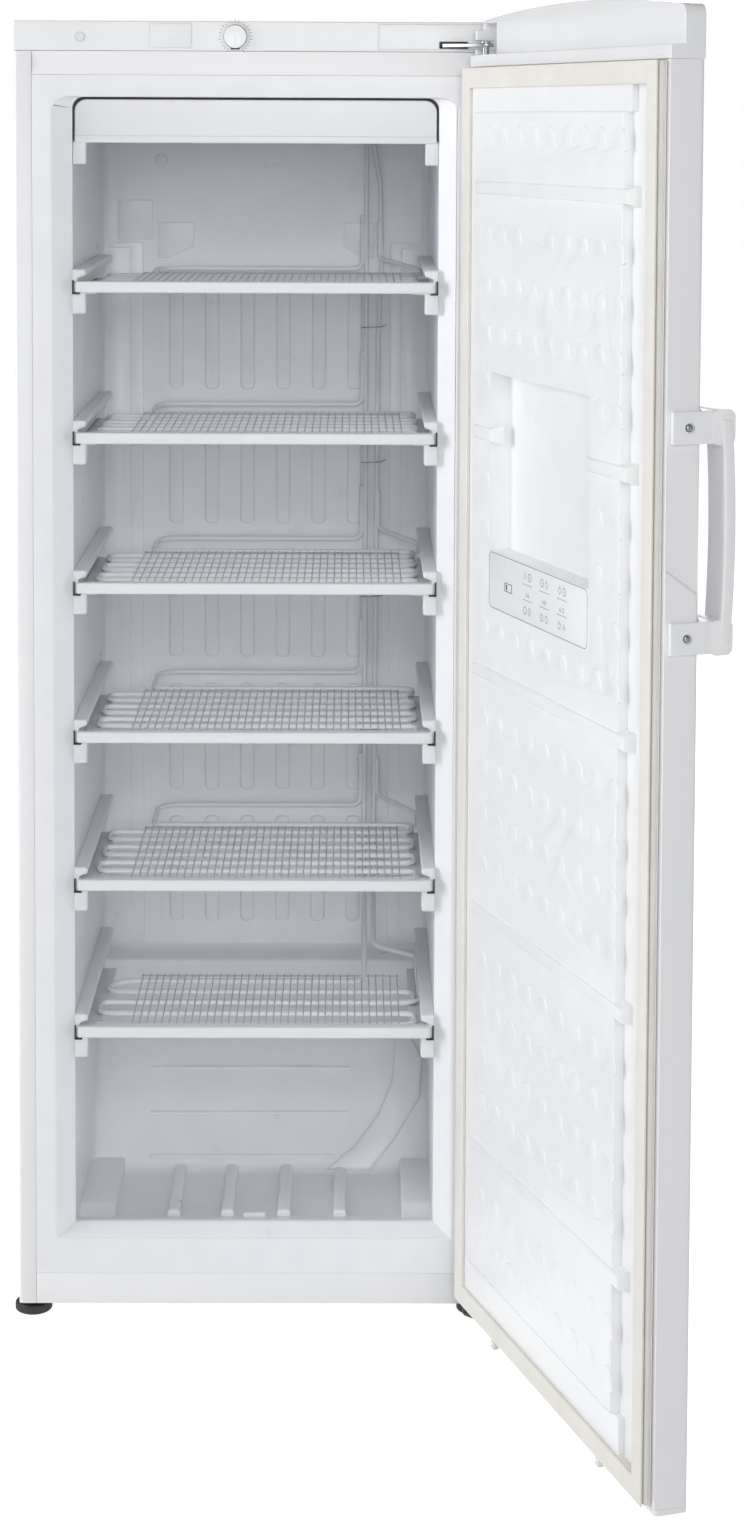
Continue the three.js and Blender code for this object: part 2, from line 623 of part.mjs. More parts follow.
// ---------------------------------------------------------------- compressor, condenser, feet
function compressor() {
  const { x, y, radius, base, shoulder, top } = COMPRESSOR;
  const seat = BODY.bottom + PAN + GAP;
  const [wide, deep] = COMPRESSOR.seat;
  const plate = block(x - wide, x + wide, y - deep, y + deep, seat, seat + 4);
  const can = turned([
    [0, seat + 3], [radius * 0.6, seat + 3], [radius * 0.62, base], [radius, base + 14], [radius, shoulder],
    [radius * 0.8, shoulder + (top - shoulder) * 0.7], [0, top],
  ], x, y, 20);
  const { near, far, half, bottom, top: lid, gland: bush } = TERMINALS;
  const terminals = block(x + radius + near, x + radius + far, y - half, y + half, bottom, lid);
  const gland = rodY(x + radius + far / 2, (bottom + lid) / 2, bush, y + half - 1, y + half + 14);
  return joined(plate, can, terminals, gland);
}

function condenser() {
  const { half, bottom, runs, pitch, radius, y, strap, bar } = CONDENSER;
  const corners = [];
  for (let run = 0; run < runs; run += 1) {
    const z = bottom + run * pitch;
    const side = run % 2 ? 1 : -1;
    corners.push([side * half, y, z], [-side * half, y, z]);
  }
  const top = bottom + (runs - 1) * pitch;
  const bars = [-strap, strap].flatMap((x) => [
    block(x, x + bar, y - radius - 2, y - radius + 1, bottom - 20, top + 20),
    block(x, x + bar, BODY.depth + GAP, y - radius, bottom + pitch, bottom + pitch + bar),
    block(x, x + bar, BODY.depth + GAP, y - radius, top - pitch, top - pitch + bar),
  ]);
  return joined(tube(corners, radius, CONDENSER.bend), ...bars);
}

function foot(x) {
  const { y, radius, disc, hub } = FOOT;
  return turned([
    [0, 0], [radius - 2, 0], [radius, 2], [radius, disc - 2], [radius - 2, disc], [hub, disc],
    [hub, BODY.bottom - GAP], [0, BODY.bottom - GAP],
  ], x, y, 18);
}

add('compressor', compressor(), blackPaint);
add('condenser', condenser(), blackPaint);
add('front_foot_left', foot(-FOOT.x), blackPlastic);
add('front_foot_right', foot(FOOT.x), blackPlastic);
const rearFoot = (x) => rodZ(x, REAR_FOOT.y, REAR_FOOT.radius, 0, BODY.bottom - GAP);
add('rear_foot_left', rearFoot(-REAR_FOOT.x), blackPlastic);
add('rear_foot_right', rearFoot(REAR_FOOT.x), blackPlastic);

// ---------------------------------------------------------------- door
// The folded outer pan: front face, two rounded edges, two sides and their return lips.
function doorShell() {
  const { corner, face, back } = DOOR;
  const lip = 9;
  const outside = roundedRectangle(-HALF, HALF, face, back + 2 * corner, corner);
  const inner = HALF - SHEET;
  const inside = roundedRectangle(-inner, inner, face + SHEET, back + 3 * corner, corner - SHEET);
  const pan = cut(
    body(prismZ(outside, DOOR.bottom + GAP, DOOR.top - GAP)),
    prismZ(inside, DOOR.bottom - 1, DOOR.top + 1));
  const kept = block(-HALF - 1, HALF + 1, face - 1, back, DOOR.bottom - 1, DOOR.top + 1);
  const lips = [-HALF + 0.5, HALF - 0.5 - lip].map((x) =>
    block(x, x + lip, back - SHEET, back, DOOR.bottom + GAP, DOOR.top - GAP));
  return pan.intersect(body(kept)).add(joined(...lips));
}

function doorFoam() {
  const edge = HALF - SHEET - GAP;
  const chamfer = DOOR.corner;
  const y0 = DOOR.face + SHEET + GAP;
  const y1 = DOOR.back - SHEET - GAP;
  const section = outline([
    [-edge + chamfer, y0], [edge - chamfer, y0], [edge, y0 + chamfer], [edge, y1],
    [-edge, y1], [-edge, y0 + chamfer],
  ]);
  const { x0, x1, z0, z1, depth } = POCKET;
  const room = LINER.wall + GAP;
  return cut(
    body(prismZ(section, DOOR.bottom + 2 * GAP, DOOR.top - 2 * GAP)),
    block(x0 - room, x1 + room, DOOR_LINER.panel - depth - room, 0, z0 - room, z1 + room));
}

function doorLiner() {
  const { back, panel, half, bottom, top, bevel } = DOOR_LINER;
  const edge = HALF - 4;
  const sheet = block(-edge, edge, DOOR.back + GAP, back, DOOR.bottom + 2, DOOR.top - 2);
  const raised = taperedBlock(-half, half, back - 1, panel, bottom, top, bevel);
  const rib = (x0, x1, z) =>
    taperedBlock(x0, x1, back - 1, RIB.proud, z - RIB.height / 2, z + RIB.height / 2, RIB.bevel);
  const ribs = RIB.levels.map((z) => rib(-RIB.half, RIB.half, z));
  const { x0, x1, z0, z1, depth, nub } = POCKET;
  const wall = LINER.wall;
  const well = block(x0 - wall, x1 + wall, panel - depth - wall, back, z0 - wall, z1 + wall);
  const nubs = [rib(-RIB.half, x0 + 12, nub), rib(x1 - 12, RIB.half, nub)];
  const recess = block(x0, x1, panel - depth, 1, z0, z1);
  return cut(joined(sheet, raised, well, ...ribs, ...nubs), recess);
}

function doorGasket() {
  const { outer, width, bottom, top } = GASKET;
  const frame = (inset, y0, y1, shoulder = 0) => cut(
    body(taperedBlock(-outer + inset, outer - inset, y0, y1, bottom + inset, top - inset, shoulder)),
    block(-outer + width - inset, outer - width + inset, y0 - 1, y1 + 1,
      bottom + width - inset, top - width + inset));
  const foot = DOOR_LINER.back + GAP;
  const lip = frame(0, foot + 5, -GAP, GASKET.shoulder);
  return frame(0, foot, foot + 2).add(frame(4, foot + 1, foot + 6)).add(lip);
}

function capOutline() {
  const { ledge, arch, end, corner } = CAP;
  const shape = new THREE.Shape();
  shape.moveTo(-HALF, ledge - 1);
  shape.lineTo(HALF, ledge - 1);
  shape.lineTo(HALF, end - corner);
  shape.absarc(HALF - corner, end - corner, corner, 0, Math.PI / 2 - 0.1);
  const steps = 12;
  const reach = HALF - corner;
  for (let i = 1; i < steps; i += 1) {
    const x = reach * (1 - (2 * i) / steps);
    shape.lineTo(x, arch - (arch - end) * (x / reach) ** 2);
  }
  shape.absarc(-HALF + corner, end - corner, corner, Math.PI / 2 + 0.1, Math.PI);
  return shape;
}

// The moulded cap on top of the door: a full-depth foot and a thinner arched crest, hollow below.
function doorTopCap() {
  const { face, back, top } = DOOR;
  const wall = 3;
  const solid = joined(
    block(-HALF, HALF, face, back, top, CAP.ledge),
    prismY(capOutline(), face, CAP.back),
    block(NOTCH.x1, HALF, face, CAP.back + 10, CAP.ledge - 1, NOTCH.z1 - 8));
  return cut(
    solid,
    block(NOTCH.x0, NOTCH.x1, NOTCH.y0, 0, CAP.ledge, NOTCH.z1),
    block(NOTCH.x1 - 1, HALF + 1, NOTCH.y0 + 4, 0, SLOT.z0 - 1, SLOT.z1 + 1),
    block(-HALF + wall, NOTCH.x0 - wall, face + wall, CAP.back - wall, top - 1, CAP.end - 5),
    rodZ(HINGE.x, HINGE.y, HINGE.pin + GAP + 0.3, top + 2, CAP.ledge + 1));
}

function doorBottomCap() {
  const { face, back, bottom, corner } = DOOR;
  const plate = prismZ(roundedRectangle(-HALF, HALF, face, back, corner), doorUnderside, bottom);
  const middle = (face + back) / 2;
  const plugs = [-PLUG.x, PLUG.x].map((x) =>
    rodZ(x, middle, PLUG.radius, doorUnderside - PLUG.height, doorUnderside + 1));
  return cut(joined(plate, ...plugs),
    rodZ(HINGE.x, HINGE.y, HINGE.pin + GAP + 0.3, doorUnderside - 1, bottom + 1));
}

// A bow grip in front of the door's free edge, held by two blocks that wrap round that edge.
function doorHandle() {
  const { bottom, top, block: tall, plate, reach, bow, width } = HANDLE;
  const side = -HALF - GAP;
  const outer = side - plate;
  const arm = outline([
    [outer, -20], [side, -20], [side, DOOR.face - GAP], [outer + width - 8, DOOR.face - GAP - 12],
    [outer + width, reach + 14], [outer + width, reach], [outer + 6, reach], [outer, reach + 6],
  ]);
  const arms = [[bottom, bottom + tall], [top - tall, top]].map(([z0, z1]) => prismZ(arm, z0, z1));
  const z0 = bottom + 6;
  const z1 = top - 6;
  const middle = (z0 + z1) / 2;
  const grip = new THREE.Shape();
  grip.moveTo(reach + 14, z0);
  grip.quadraticCurveTo(reach + 14 - bow, middle, reach + 14, z1);
  grip.lineTo(reach, z1);
  grip.quadraticCurveTo(reach - 2 * bow, middle, reach, z0);
  const bar = prismX(grip, outer, outer + width);
  const bores = [bottom, top - tall].map((z) =>
    rodX(SCREW.y, z + tall / 2, SCREW.head + GAP, outer - 1, outer + 3));
  const shanks = [bottom, top - tall].map((z) =>
    rodX(SCREW.y, z + tall / 2, SCREW.shank + GAP, outer - 1, side + 1));
  return cut(joined(...arms, bar), ...bores, ...shanks);
}

function handleScrew(z) {
  const head = -HALF - GAP - HANDLE.plate + 3 - GAP;
  return joined(
    rodX(SCREW.y, z, SCREW.head, head - 2.4, head),
    rodX(SCREW.y, z, SCREW.shank, head - 1, -HALF - 2 * GAP));
}

function labelPlate() {
  const back = DOOR_LINER.panel + GAP;
  const top = POCKET.z0 - GAP;
  return block(POCKET.x0, POCKET.x1, back, back + LABEL.thick, top - LABEL.height, top);
}

const screwHeights = [HANDLE.bottom + HANDLE.block / 2, HANDLE.top - HANDLE.block / 2];
addToDoor('door_outer_shell', doorShell(), paintedSteel);
addToDoor('door_foam', doorFoam(), foam);
addToDoor('door_inner_liner', doorLiner(), linerPlastic);
addToDoor('door_gasket', doorGasket(), gasketRubber);
addToDoor('door_top_cap', doorTopCap(), whitePlastic);
addToDoor('door_bottom_cap', doorBottomCap(), whitePlastic);
addToDoor('door_handle', doorHandle(), whitePlastic);
addToDoor('handle_screw_lower', handleScrew(screwHeights[0]), chromedSteel);
addToDoor('handle_screw_upper', handleScrew(screwHeights[1]), chromedSteel);
addToDoor('label_plate', labelPlate(), labelFilm);

// ---------------------------------------------------------------- stand the freezer on its origin
const extent = new THREE.Box3().setFromObject(freezer, true);
const centre = extent.getCenter(new THREE.Vector3());
freezer.position.set(-centre.x, -centre.y, 0);

export default freezer;
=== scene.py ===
"""An upright freezer with its door open and its drawers taken out.

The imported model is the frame. Each sub-assembly below is a class that holds its sizes in
millimetres, models its pieces with Blender's own tools and dresses them. Cabinet pieces are
drawn with X = 0 in the middle of the cabinet, Y = 0 on its front face and Z = 0 on the floor.
Door pieces are drawn where they lie with the door shut, and are then turned open.
"""
from __future__ import annotations

import json
import logging
import math
from contextlib import contextmanager
from dataclasses import dataclass
from enum import Enum
from typing import Any, Callable, Iterator, Sequence

import bmesh
import bpy
from mathutils import Matrix, Vector

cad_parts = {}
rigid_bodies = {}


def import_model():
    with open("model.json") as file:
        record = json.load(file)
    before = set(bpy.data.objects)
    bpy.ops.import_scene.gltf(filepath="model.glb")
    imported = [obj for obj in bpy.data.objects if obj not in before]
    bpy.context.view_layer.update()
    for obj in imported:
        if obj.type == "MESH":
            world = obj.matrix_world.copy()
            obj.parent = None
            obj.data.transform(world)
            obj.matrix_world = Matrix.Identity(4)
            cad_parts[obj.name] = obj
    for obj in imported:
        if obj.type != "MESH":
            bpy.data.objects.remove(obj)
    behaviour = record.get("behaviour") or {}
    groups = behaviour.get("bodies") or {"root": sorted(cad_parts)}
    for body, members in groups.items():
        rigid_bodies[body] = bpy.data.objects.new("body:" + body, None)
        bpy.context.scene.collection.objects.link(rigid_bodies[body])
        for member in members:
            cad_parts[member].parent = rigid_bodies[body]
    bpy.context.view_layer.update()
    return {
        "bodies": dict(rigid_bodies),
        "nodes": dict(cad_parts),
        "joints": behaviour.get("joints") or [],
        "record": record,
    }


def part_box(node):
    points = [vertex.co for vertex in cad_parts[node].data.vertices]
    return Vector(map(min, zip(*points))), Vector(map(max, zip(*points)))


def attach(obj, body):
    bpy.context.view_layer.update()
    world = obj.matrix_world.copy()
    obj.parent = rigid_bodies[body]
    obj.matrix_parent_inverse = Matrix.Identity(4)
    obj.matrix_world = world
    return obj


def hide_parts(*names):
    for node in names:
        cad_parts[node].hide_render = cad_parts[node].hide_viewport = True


log = logging.getLogger("freezer")

Place = tuple[float, float, float]
Pair = tuple[float, float]
Piece = bpy.types.Object
Tree = bpy.types.NodeTree
Node = bpy.types.Node
Socket = bpy.types.NodeSocket
MILLIMETRE = 0.001
SIDES = (-1, 1)


class Body(Enum):
    """The frame's moving bodies."""

    CABINET = "cabinet"
    DOOR = "door"
    DIAL = "dial"
    LEFT_FOOT = "left_foot"
    RIGHT_FOOT = "right_foot"


class Part(Enum):
    """What an edit-mode selection picks."""

    VERT = "verts"
    EDGE = "edges"
    FACE = "faces"


# ---------------------------------------------------------------- finishes
def linear(hex_colour: str) -> tuple[float, float, float, float]:
    """Turns an sRGB hex colour into the linear colour a shader needs.

    Args:
        hex_colour: Six hex digits after a hash sign.

    Returns:
        Red, green, blue and a full alpha.
    """
    parts = [int(hex_colour[i:i + 2], 16) / 255 for i in (1, 3, 5)]
    curve = [c / 12.92 if c <= 0.04045 else ((c + 0.055) / 1.055) ** 2.4 for c in parts]
    return (*curve, 1.0)


def add_node(
    tree: Tree,
    kind: str,
    settings: dict[str, Any] | None = None,
    links: dict[str | int, Socket] | None = None,
) -> Node:
    """Adds a shader node with its settings and its incoming links.

    Args:
        tree: The node tree that gets the node.
        kind: The node's type name.
        settings: Values for the node's own options or its input sockets, by name.
        links: Output sockets to join to this node's inputs, by input name or number.

    Returns:
        The new node.
    """
    node = tree.nodes.new(kind)
    for key, value in (settings or {}).items():
        if key in node.inputs:
            node.inputs[key].default_value = value
        else:
            setattr(node, key, value)
    for key, output in (links or {}).items():
        tree.links.new(output, node.inputs[key])
    return node


@dataclass(frozen=True)
class Finish:
    """A plain surface, with the socket values every finish shares."""

    name: str
    colour: str
    second: str
    roughness: float
    metallic: float = 0.0
    ior: float = 1.5
    coat: float = 0.0
    slot: str = ""

    def material(self) -> bpy.types.Material:
        """Makes this finish's material the first time it is asked for.

        Returns:
            The material.
        """
        known = bpy.data.materials.get(self.name)
        if known:
            return known
        material = bpy.data.materials.new(self.name)
        material.use_nodes = True
        tree = material.node_tree
        shader = tree.nodes["Principled BSDF"]
        shader.inputs["Metallic"].default_value = self.metallic
        shader.inputs["IOR"].default_value = self.ior
        shader.inputs["Coat Weight"].default_value = self.coat
        shader.inputs["Coat Roughness"].default_value = 0.12
        place = add_node(tree, "ShaderNodeTexCoord").outputs["Object"]
        self.pattern(tree, shader, place)
        return material

    def mix(self, tree: Tree, shader: Node, amount: Socket, spread: float = 0.05) -> None:
        """Varies colour and roughness by a pattern between 0 and 1.

        Args:
            tree: The material's nodes.
            shader: The surface shader.
            amount: The pattern's output.
            spread: How far the roughness moves either way.
        """
        colours = add_node(tree, "ShaderNodeValToRGB", links={"Fac": amount})
        colours.color_ramp.elements[0].position = 0.3
        colours.color_ramp.elements[0].color = linear(self.second)
        colours.color_ramp.elements[1].position = 0.7
        colours.color_ramp.elements[1].color = linear(self.colour)
        tree.links.new(colours.outputs["Color"], shader.inputs["Base Color"])
        rough = add_node(
            tree, "ShaderNodeMapRange",
            {"To Min": self.roughness - spread, "To Max": self.roughness + spread},
            {"Value": amount})
        tree.links.new(rough.outputs["Result"], shader.inputs["Roughness"])

    def relief(
        self, tree: Tree, shader: Node, height: Socket, depth_mm: float, strength: float = 1.0,
    ) -> None:
        """Adds a bump of a real depth to the surface.

        Args:
            tree: The material's nodes.
            shader: The surface shader.
            height: The pattern's output, between 0 and 1.
            depth_mm: How deep the pattern is.
            strength: How much of it shows.
        """
        bump = add_node(
            tree, "ShaderNodeBump",
            {"Distance": depth_mm * MILLIMETRE, "Strength": strength}, {"Height": height})
        tree.links.new(bump.outputs["Normal"], shader.inputs["Normal"])

    def pattern(self, tree: Tree, shader: Node, place: Socket) -> None:
        """Draws the surface's pattern; each kind of finish has its own.

        Args:
            tree: The material's nodes.
            shader: The surface shader.
            place: Where on the object a point lies, in metres.
        """
        raise NotImplementedError


@dataclass(frozen=True)
class SprayedPaint(Finish):
    """Polyester powder paint: a faint orange peel under a thin gloss."""

    peel_mm: float = 2.6
    depth_mm: float = 0.02

    def pattern(self, tree: Tree, shader: Node, place: Socket) -> None:
        """Draws orange peel, and a slow unevenness of the sheet beneath.

        Args:
            tree: The material's nodes.
            shader: The surface shader.
            place: Where on the object a point lies, in metres.
        """
        peel = add_node(
            tree, "ShaderNodeTexNoise",
            {"Scale": 1 / (self.peel_mm * MILLIMETRE), "Detail": 2.0, "Roughness": 0.4},
            {"Vector": place})
        slow = add_node(
            tree, "ShaderNodeTexNoise", {"Scale": 2.2, "Detail": 1.0}, {"Vector": place})
        self.mix(tree, shader, slow.outputs["Fac"])
        self.relief(tree, shader, peel.outputs["Fac"], self.depth_mm)


@dataclass(frozen=True)
class MouldedPlastic(Finish):
    """Injection-moulded plastic: a fine spark-eroded grain from the mould's steel."""

    grain_mm: float = 1.1
    depth_mm: float = 0.012

    def pattern(self, tree: Tree, shader: Node, place: Socket) -> None:
        """Draws the mould's grain and slow flow marks.

        Args:
            tree: The material's nodes.
            shader: The surface shader.
            place: Where on the object a point lies, in metres.
        """
        grain = add_node(
            tree, "ShaderNodeTexNoise",
            {"Scale": 1 / (self.grain_mm * MILLIMETRE), "Detail": 3.0, "Roughness": 0.6},
            {"Vector": place})
        flow = add_node(
            tree, "ShaderNodeTexNoise",
            {"Scale": 9.0, "Detail": 2.0, "Distortion": 0.6}, {"Vector": place})
        self.mix(tree, shader, flow.outputs["Fac"], 0.04)
        self.relief(tree, shader, grain.outputs["Fac"], self.depth_mm)


@dataclass(frozen=True)
class DrawnSheet(Finish):
    """Vacuum-formed polystyrene sheet: glossy, with slow waves where the hot sheet was drawn thin."""

    wave_mm: float = 38.0
    depth_mm: float = 0.28

    def pattern(self, tree: Tree, shader: Node, place: Socket) -> None:
        """Draws the drawn sheet's waves and a faint skin texture over them.

        Args:
            tree: The material's nodes.
            shader: The surface shader.
            place: Where on the object a point lies, in metres.
        """
        wave = add_node(
            tree, "ShaderNodeTexNoise",
            {"Scale": 1 / (self.wave_mm * MILLIMETRE), "Detail": 2.0, "Roughness": 0.35},
            {"Vector": place})
        skin = add_node(
            tree, "ShaderNodeTexNoise",
            {"Scale": 1 / (1.6 * MILLIMETRE), "Detail": 2.0}, {"Vector": place})
        self.mix(tree, shader, wave.outputs["Fac"])
        fine = add_node(
            tree, "ShaderNodeBump", {"Distance": 0.008 * MILLIMETRE}, {"Height": skin.outputs["Fac"]})
        broad = add_node(
            tree, "ShaderNodeBump", {"Distance": self.depth_mm * MILLIMETRE},
            {"Height": wave.outputs["Fac"], "Normal": fine.outputs["Normal"]})
        tree.links.new(broad.outputs["Normal"], shader.inputs["Normal"])


@dataclass(frozen=True)
class ZincCoat(Finish):
    """Hot-dip galvanised sheet: grey crystals a few millimetres wide, each a little off the next."""

    spangle_mm: float = 9.0
    depth_mm: float = 0.03

    def pattern(self, tree: Tree, shader: Node, place: Socket) -> None:
        """Draws the spangle's cells and the fine scratches of handling.

        Args:
            tree: The material's nodes.
            shader: The surface shader.
            place: Where on the object a point lies, in metres.
        """
        cells = add_node(
            tree, "ShaderNodeTexVoronoi",
            {"Scale": 1 / (self.spangle_mm * MILLIMETRE), "Randomness": 1.0}, {"Vector": place})
        shade = add_node(
            tree, "ShaderNodeSeparateColor", links={"Color": cells.outputs["Color"]})
        scratch = add_node(
            tree, "ShaderNodeTexNoise",
            {"Scale": 1 / (0.9 * MILLIMETRE), "Detail": 3.0}, {"Vector": place})
        self.mix(tree, shader, shade.outputs["Red"], 0.1)
        self.relief(tree, shader, scratch.outputs["Fac"], self.depth_mm)


@dataclass(frozen=True)
class Plating(Finish):
    """Bright zinc or nickel plating on a small turned or pressed steel piece."""

    tool_mm: float = 0.5

    def pattern(self, tree: Tree, shader: Node, place: Socket) -> None:
        """Draws the fine marks that the tool left under the plating.

        Args:
            tree: The material's nodes.
            shader: The surface shader.
            place: Where on the object a point lies, in metres.
        """
        marks = add_node(
            tree, "ShaderNodeTexNoise",
            {"Scale": 1 / (self.tool_mm * MILLIMETRE), "Detail": 4.0, "Roughness": 0.7},
            {"Vector": place})
        cloud = add_node(tree, "ShaderNodeTexNoise", {"Scale": 60.0}, {"Vector": place})
        self.mix(tree, shader, cloud.outputs["Fac"], 0.08)
        self.relief(tree, shader, marks.outputs["Fac"], 0.006)


@dataclass(frozen=True)
class SoftVinyl(Finish):
    """Extruded soft PVC: matt, a little cloudy, with fine lines along the extrusion."""

    cloud_mm: float = 60.0

    def pattern(self, tree: Tree, shader: Node, place: Socket) -> None:
        """Draws the vinyl's cloudiness and its fine skin.

        Args:
            tree: The material's nodes.
            shader: The surface shader.
            place: Where on the object a point lies, in metres.
        """
        cloud = add_node(
            tree, "ShaderNodeTexNoise",
            {"Scale": 1 / (self.cloud_mm * MILLIMETRE), "Detail": 3.0}, {"Vector": place})
        skin = add_node(
            tree, "ShaderNodeTexNoise", {"Scale": 1 / (1.2 * MILLIMETRE)}, {"Vector": place})
        self.mix(tree, shader, cloud.outputs["Fac"], 0.06)
        self.relief(tree, shader, skin.outputs["Fac"], 0.02)


@dataclass(frozen=True)
class CellFoam(Finish):
    """Rigid polyurethane foam: a matt yellowish block of closed cells."""

    cell_mm: float = 1.4

    def pattern(self, tree: Tree, shader: Node, place: Socket) -> None:
        """Draws the foam's cells.

        Args:
            tree: The material's nodes.
            shader: The surface shader.
            place: Where on the object a point lies, in metres.
        """
        cells = add_node(
            tree, "ShaderNodeTexVoronoi", {"Scale": 1 / (self.cell_mm * MILLIMETRE)},
            {"Vector": place})
        self.mix(tree, shader, cells.outputs["Distance"], 0.03)
        self.relief(tree, shader, cells.outputs["Distance"], 0.4)


# Powder on folded steel: an even, faintly pebbled white with a soft shine.
CABINET_PAINT = SprayedPaint("Powder_Coated_Steel", "#f5f5f7", "#f2f3f5", 0.36, slot="painted_steel")
# The door's sheet is flatter, so that the same powder shines a little more.
DOOR_PAINT = SprayedPaint("Powder_Coated_Steel_Door", "#f4f4f7", "#f1f2f5", 0.34, slot="painted_steel")
# Moulded ABS: a neutral white, whose fine grain softens the highlights.
WHITE_ABS = MouldedPlastic("Moulded_ABS_White", "#f3f4f5", "#f0f1f3", 0.34, slot="white_plastic")
# The same from a polished mould: smooth, with sharp highlights.
GLOSS_ABS = MouldedPlastic(
    "Moulded_ABS_Gloss", "#f2f3f5", "#eff0f3", 0.2, coat=0.3, depth_mm=0.004, slot="white_plastic")
# General-purpose polystyrene: a little greyer and duller than ABS.
GREY_STYRENE = MouldedPlastic("Moulded_Polystyrene", "#eaecef", "#e7e9ed", 0.36, slot="grey_plastic")
# High-impact polystyrene: a cool white that shines where the draw left it smooth.
LINER_SHEET = DrawnSheet("Vacuum_Formed_Polystyrene", "#f4f5f9", "#f1f2f7", 0.3, slot="liner_plastic")
# The same sheet drawn less deep: fewer waves and a duller face.
DOOR_SHEET = DrawnSheet(
    "Vacuum_Formed_Door_Liner", "#f5f6f7", "#f3f4f6", 0.36, depth_mm=0.2, slot="liner_plastic")
# Hot-dip zinc: mid grey, its crystals catching the light one by one.
ZINC_SHEET = ZincCoat("Galvanised_Steel", "#b4b8bd", "#9da2a8", 0.42, 0.9, slot="zinc_coated_steel")
# Zinc plate: a grey mirror, blurred by tool marks.
ZINC_PLATE = Plating("Zinc_Plated_Steel", "#a9acb0", "#8c9095", 0.3, 1.0, slot="chromed_steel")
# Soft PVC: a warm off-white, nearly matt.
VINYL = SoftVinyl("Soft_Vinyl_Seal", "#edebe5", "#e8e5de", 0.6, slot="gasket_rubber")
# Nylon from a coarse mould: not quite black, with a dull face. It also dresses the strip behind the
# evaporator cover, where its black is painted shade.
BLACK_NYLON = MouldedPlastic(
    "Moulded_Nylon_Black", "#2b2b27", "#232320", 0.5, depth_mm=0.05, slot="black_plastic")
# Stoved enamel: deep black under a thin gloss.
BLACK_PAINT = SprayedPaint(
    "Stoved_Black_Enamel", "#1d1e20", "#17181a", 0.38, coat=0.2, peel_mm=1.6, slot="black_paint")
# Dipped white enamel: long clear highlights along the tube.
TUBE_PAINT = SprayedPaint(
    "White_Enamelled_Tube", "#eff0f4", "#e9eaf0", 0.25, peel_mm=1.2, depth_mm=0.03, slot="coated_tube")
# The wires are white enamel like the tubes; their grey is painted shade, which keeps the thin wires darker
# than the lit tubes.
WIRE_PAINT_SHADED = SprayedPaint(
    "Grey_Enamelled_Wire", "#c3c7d0", "#b9bdc7", 0.3, peel_mm=1.2, depth_mm=0.03, slot="coated_tube")
# Polypropylene film: flat, and shinier than the sheet beneath.
LABEL_FILM = MouldedPlastic(
    "Printed_Polypropylene_Film", "#f1f2f4", "#eeeff2", 0.3, depth_mm=0.003, slot="label_film")
# Screen ink lies dull on the film.
LABEL_INK = MouldedPlastic(
    "Screen_Printed_Grey_Ink", "#83858c", "#7b7d84", 0.5, depth_mm=0.003, slot="label_film")
# A second, darker pass of the same ink.
LABEL_DARK_INK = MouldedPlastic(
    "Screen_Printed_Dark_Ink", "#4c4f57", "#464951", 0.5, depth_mm=0.003, slot="label_film")
# Rigid foam: straw yellow and quite matt.
POLYURETHANE = CellFoam("Polyurethane_Foam", "#e3d9a8", "#d5c98f", 0.9, slot="polyurethane_foam")


# ---------------------------------------------------------------- the bench
def take_up(*pieces: Piece) -> None:
    """Selects these pieces alone and makes the first of them the active one."""
    bpy.ops.object.select_all(action="DESELECT")
    for piece in pieces:
        piece.select_set(True)
    bpy.context.view_layer.objects.active = pieces[0]


@contextmanager
def editing(piece: Piece) -> Iterator[Piece]:
    """Opens a piece in edit mode and closes it again.

    Args:
        piece: The object to edit.

    Yields:
        The same object.
    """
    take_up(piece)
    bpy.ops.object.mode_set(mode="EDIT")
    yield piece
    bpy.ops.object.mode_set(mode="OBJECT")


def choose(piece: Piece, part: Part, test: Callable[[Any], bool]) -> int:
    """Selects the vertices, edges or faces of the edited piece that pass a test.

    Args:
        piece: The piece that is in edit mode.
        part: Which kind of element is picked.
        test: Says whether an element is picked.

    Returns:
        How many elements are selected.
    """
    kind = {Part.VERT: "VERT", Part.EDGE: "EDGE", Part.FACE: "FACE"}[part]
    bpy.ops.mesh.select_mode(type=kind)
    bpy.ops.mesh.select_all(action="DESELECT")
    mesh = bmesh.from_edit_mesh(piece.data)
    chosen = [element for element in getattr(mesh, part.value) if test(element)]
    for element in chosen:
        element.select_set(True)
    bmesh.update_edit_mesh(piece.data)
    return len(chosen)


def middle(edge: Any) -> Vector:
    """Returns the middle of an edge."""
    return (edge.verts[0].co + edge.verts[1].co) / 2


def along(edge: Any, axis: int) -> bool:
    """Says whether an edge runs along an axis, numbered 0 to 2."""
    way = (edge.verts[1].co - edge.verts[0].co).normalized()
    return abs(way[axis]) > 0.999


def block(name: str, low: Place, high: Place) -> Piece:
    """Adds a box between two corners.

    Args:
        name: The piece's name.
        low: Its lowest corner, in millimetres.
        high: Its highest corner.

    Returns:
        The new piece.
    """
    centre = [(a + b) / 2 for a, b in zip(low, high)]
    size = [b - a for a, b in zip(low, high)]
    bpy.ops.object.select_all(action="DESELECT")
    bpy.ops.mesh.primitive_cube_add(size=1, location=centre, scale=size)
    piece = bpy.context.object
    piece.name = name
    bpy.ops.object.transform_apply(location=True, rotation=True, scale=True)
    return piece


def rod(name: str, start: Place, end: Place, radius: float, sides: int = 24) -> Piece:
    """Adds a round bar between two points.

    Args:
        name: The piece's name.
        start: The middle of one end, in millimetres.
        end: The middle of the other end.
        radius: The bar's radius.
        sides: How many sides stand for the round.

    Returns:
        The new piece.
    """
    way = Vector(end) - Vector(start)
    bpy.ops.object.select_all(action="DESELECT")
    bpy.ops.mesh.primitive_cylinder_add(
        vertices=sides, radius=radius, depth=way.length,
        location=(Vector(start) + Vector(end)) / 2,
        rotation=way.to_track_quat("Z", "Y").to_euler())
    piece = bpy.context.object
    piece.name = name
    bpy.ops.object.transform_apply(location=True, rotation=True, scale=True)
    return piece


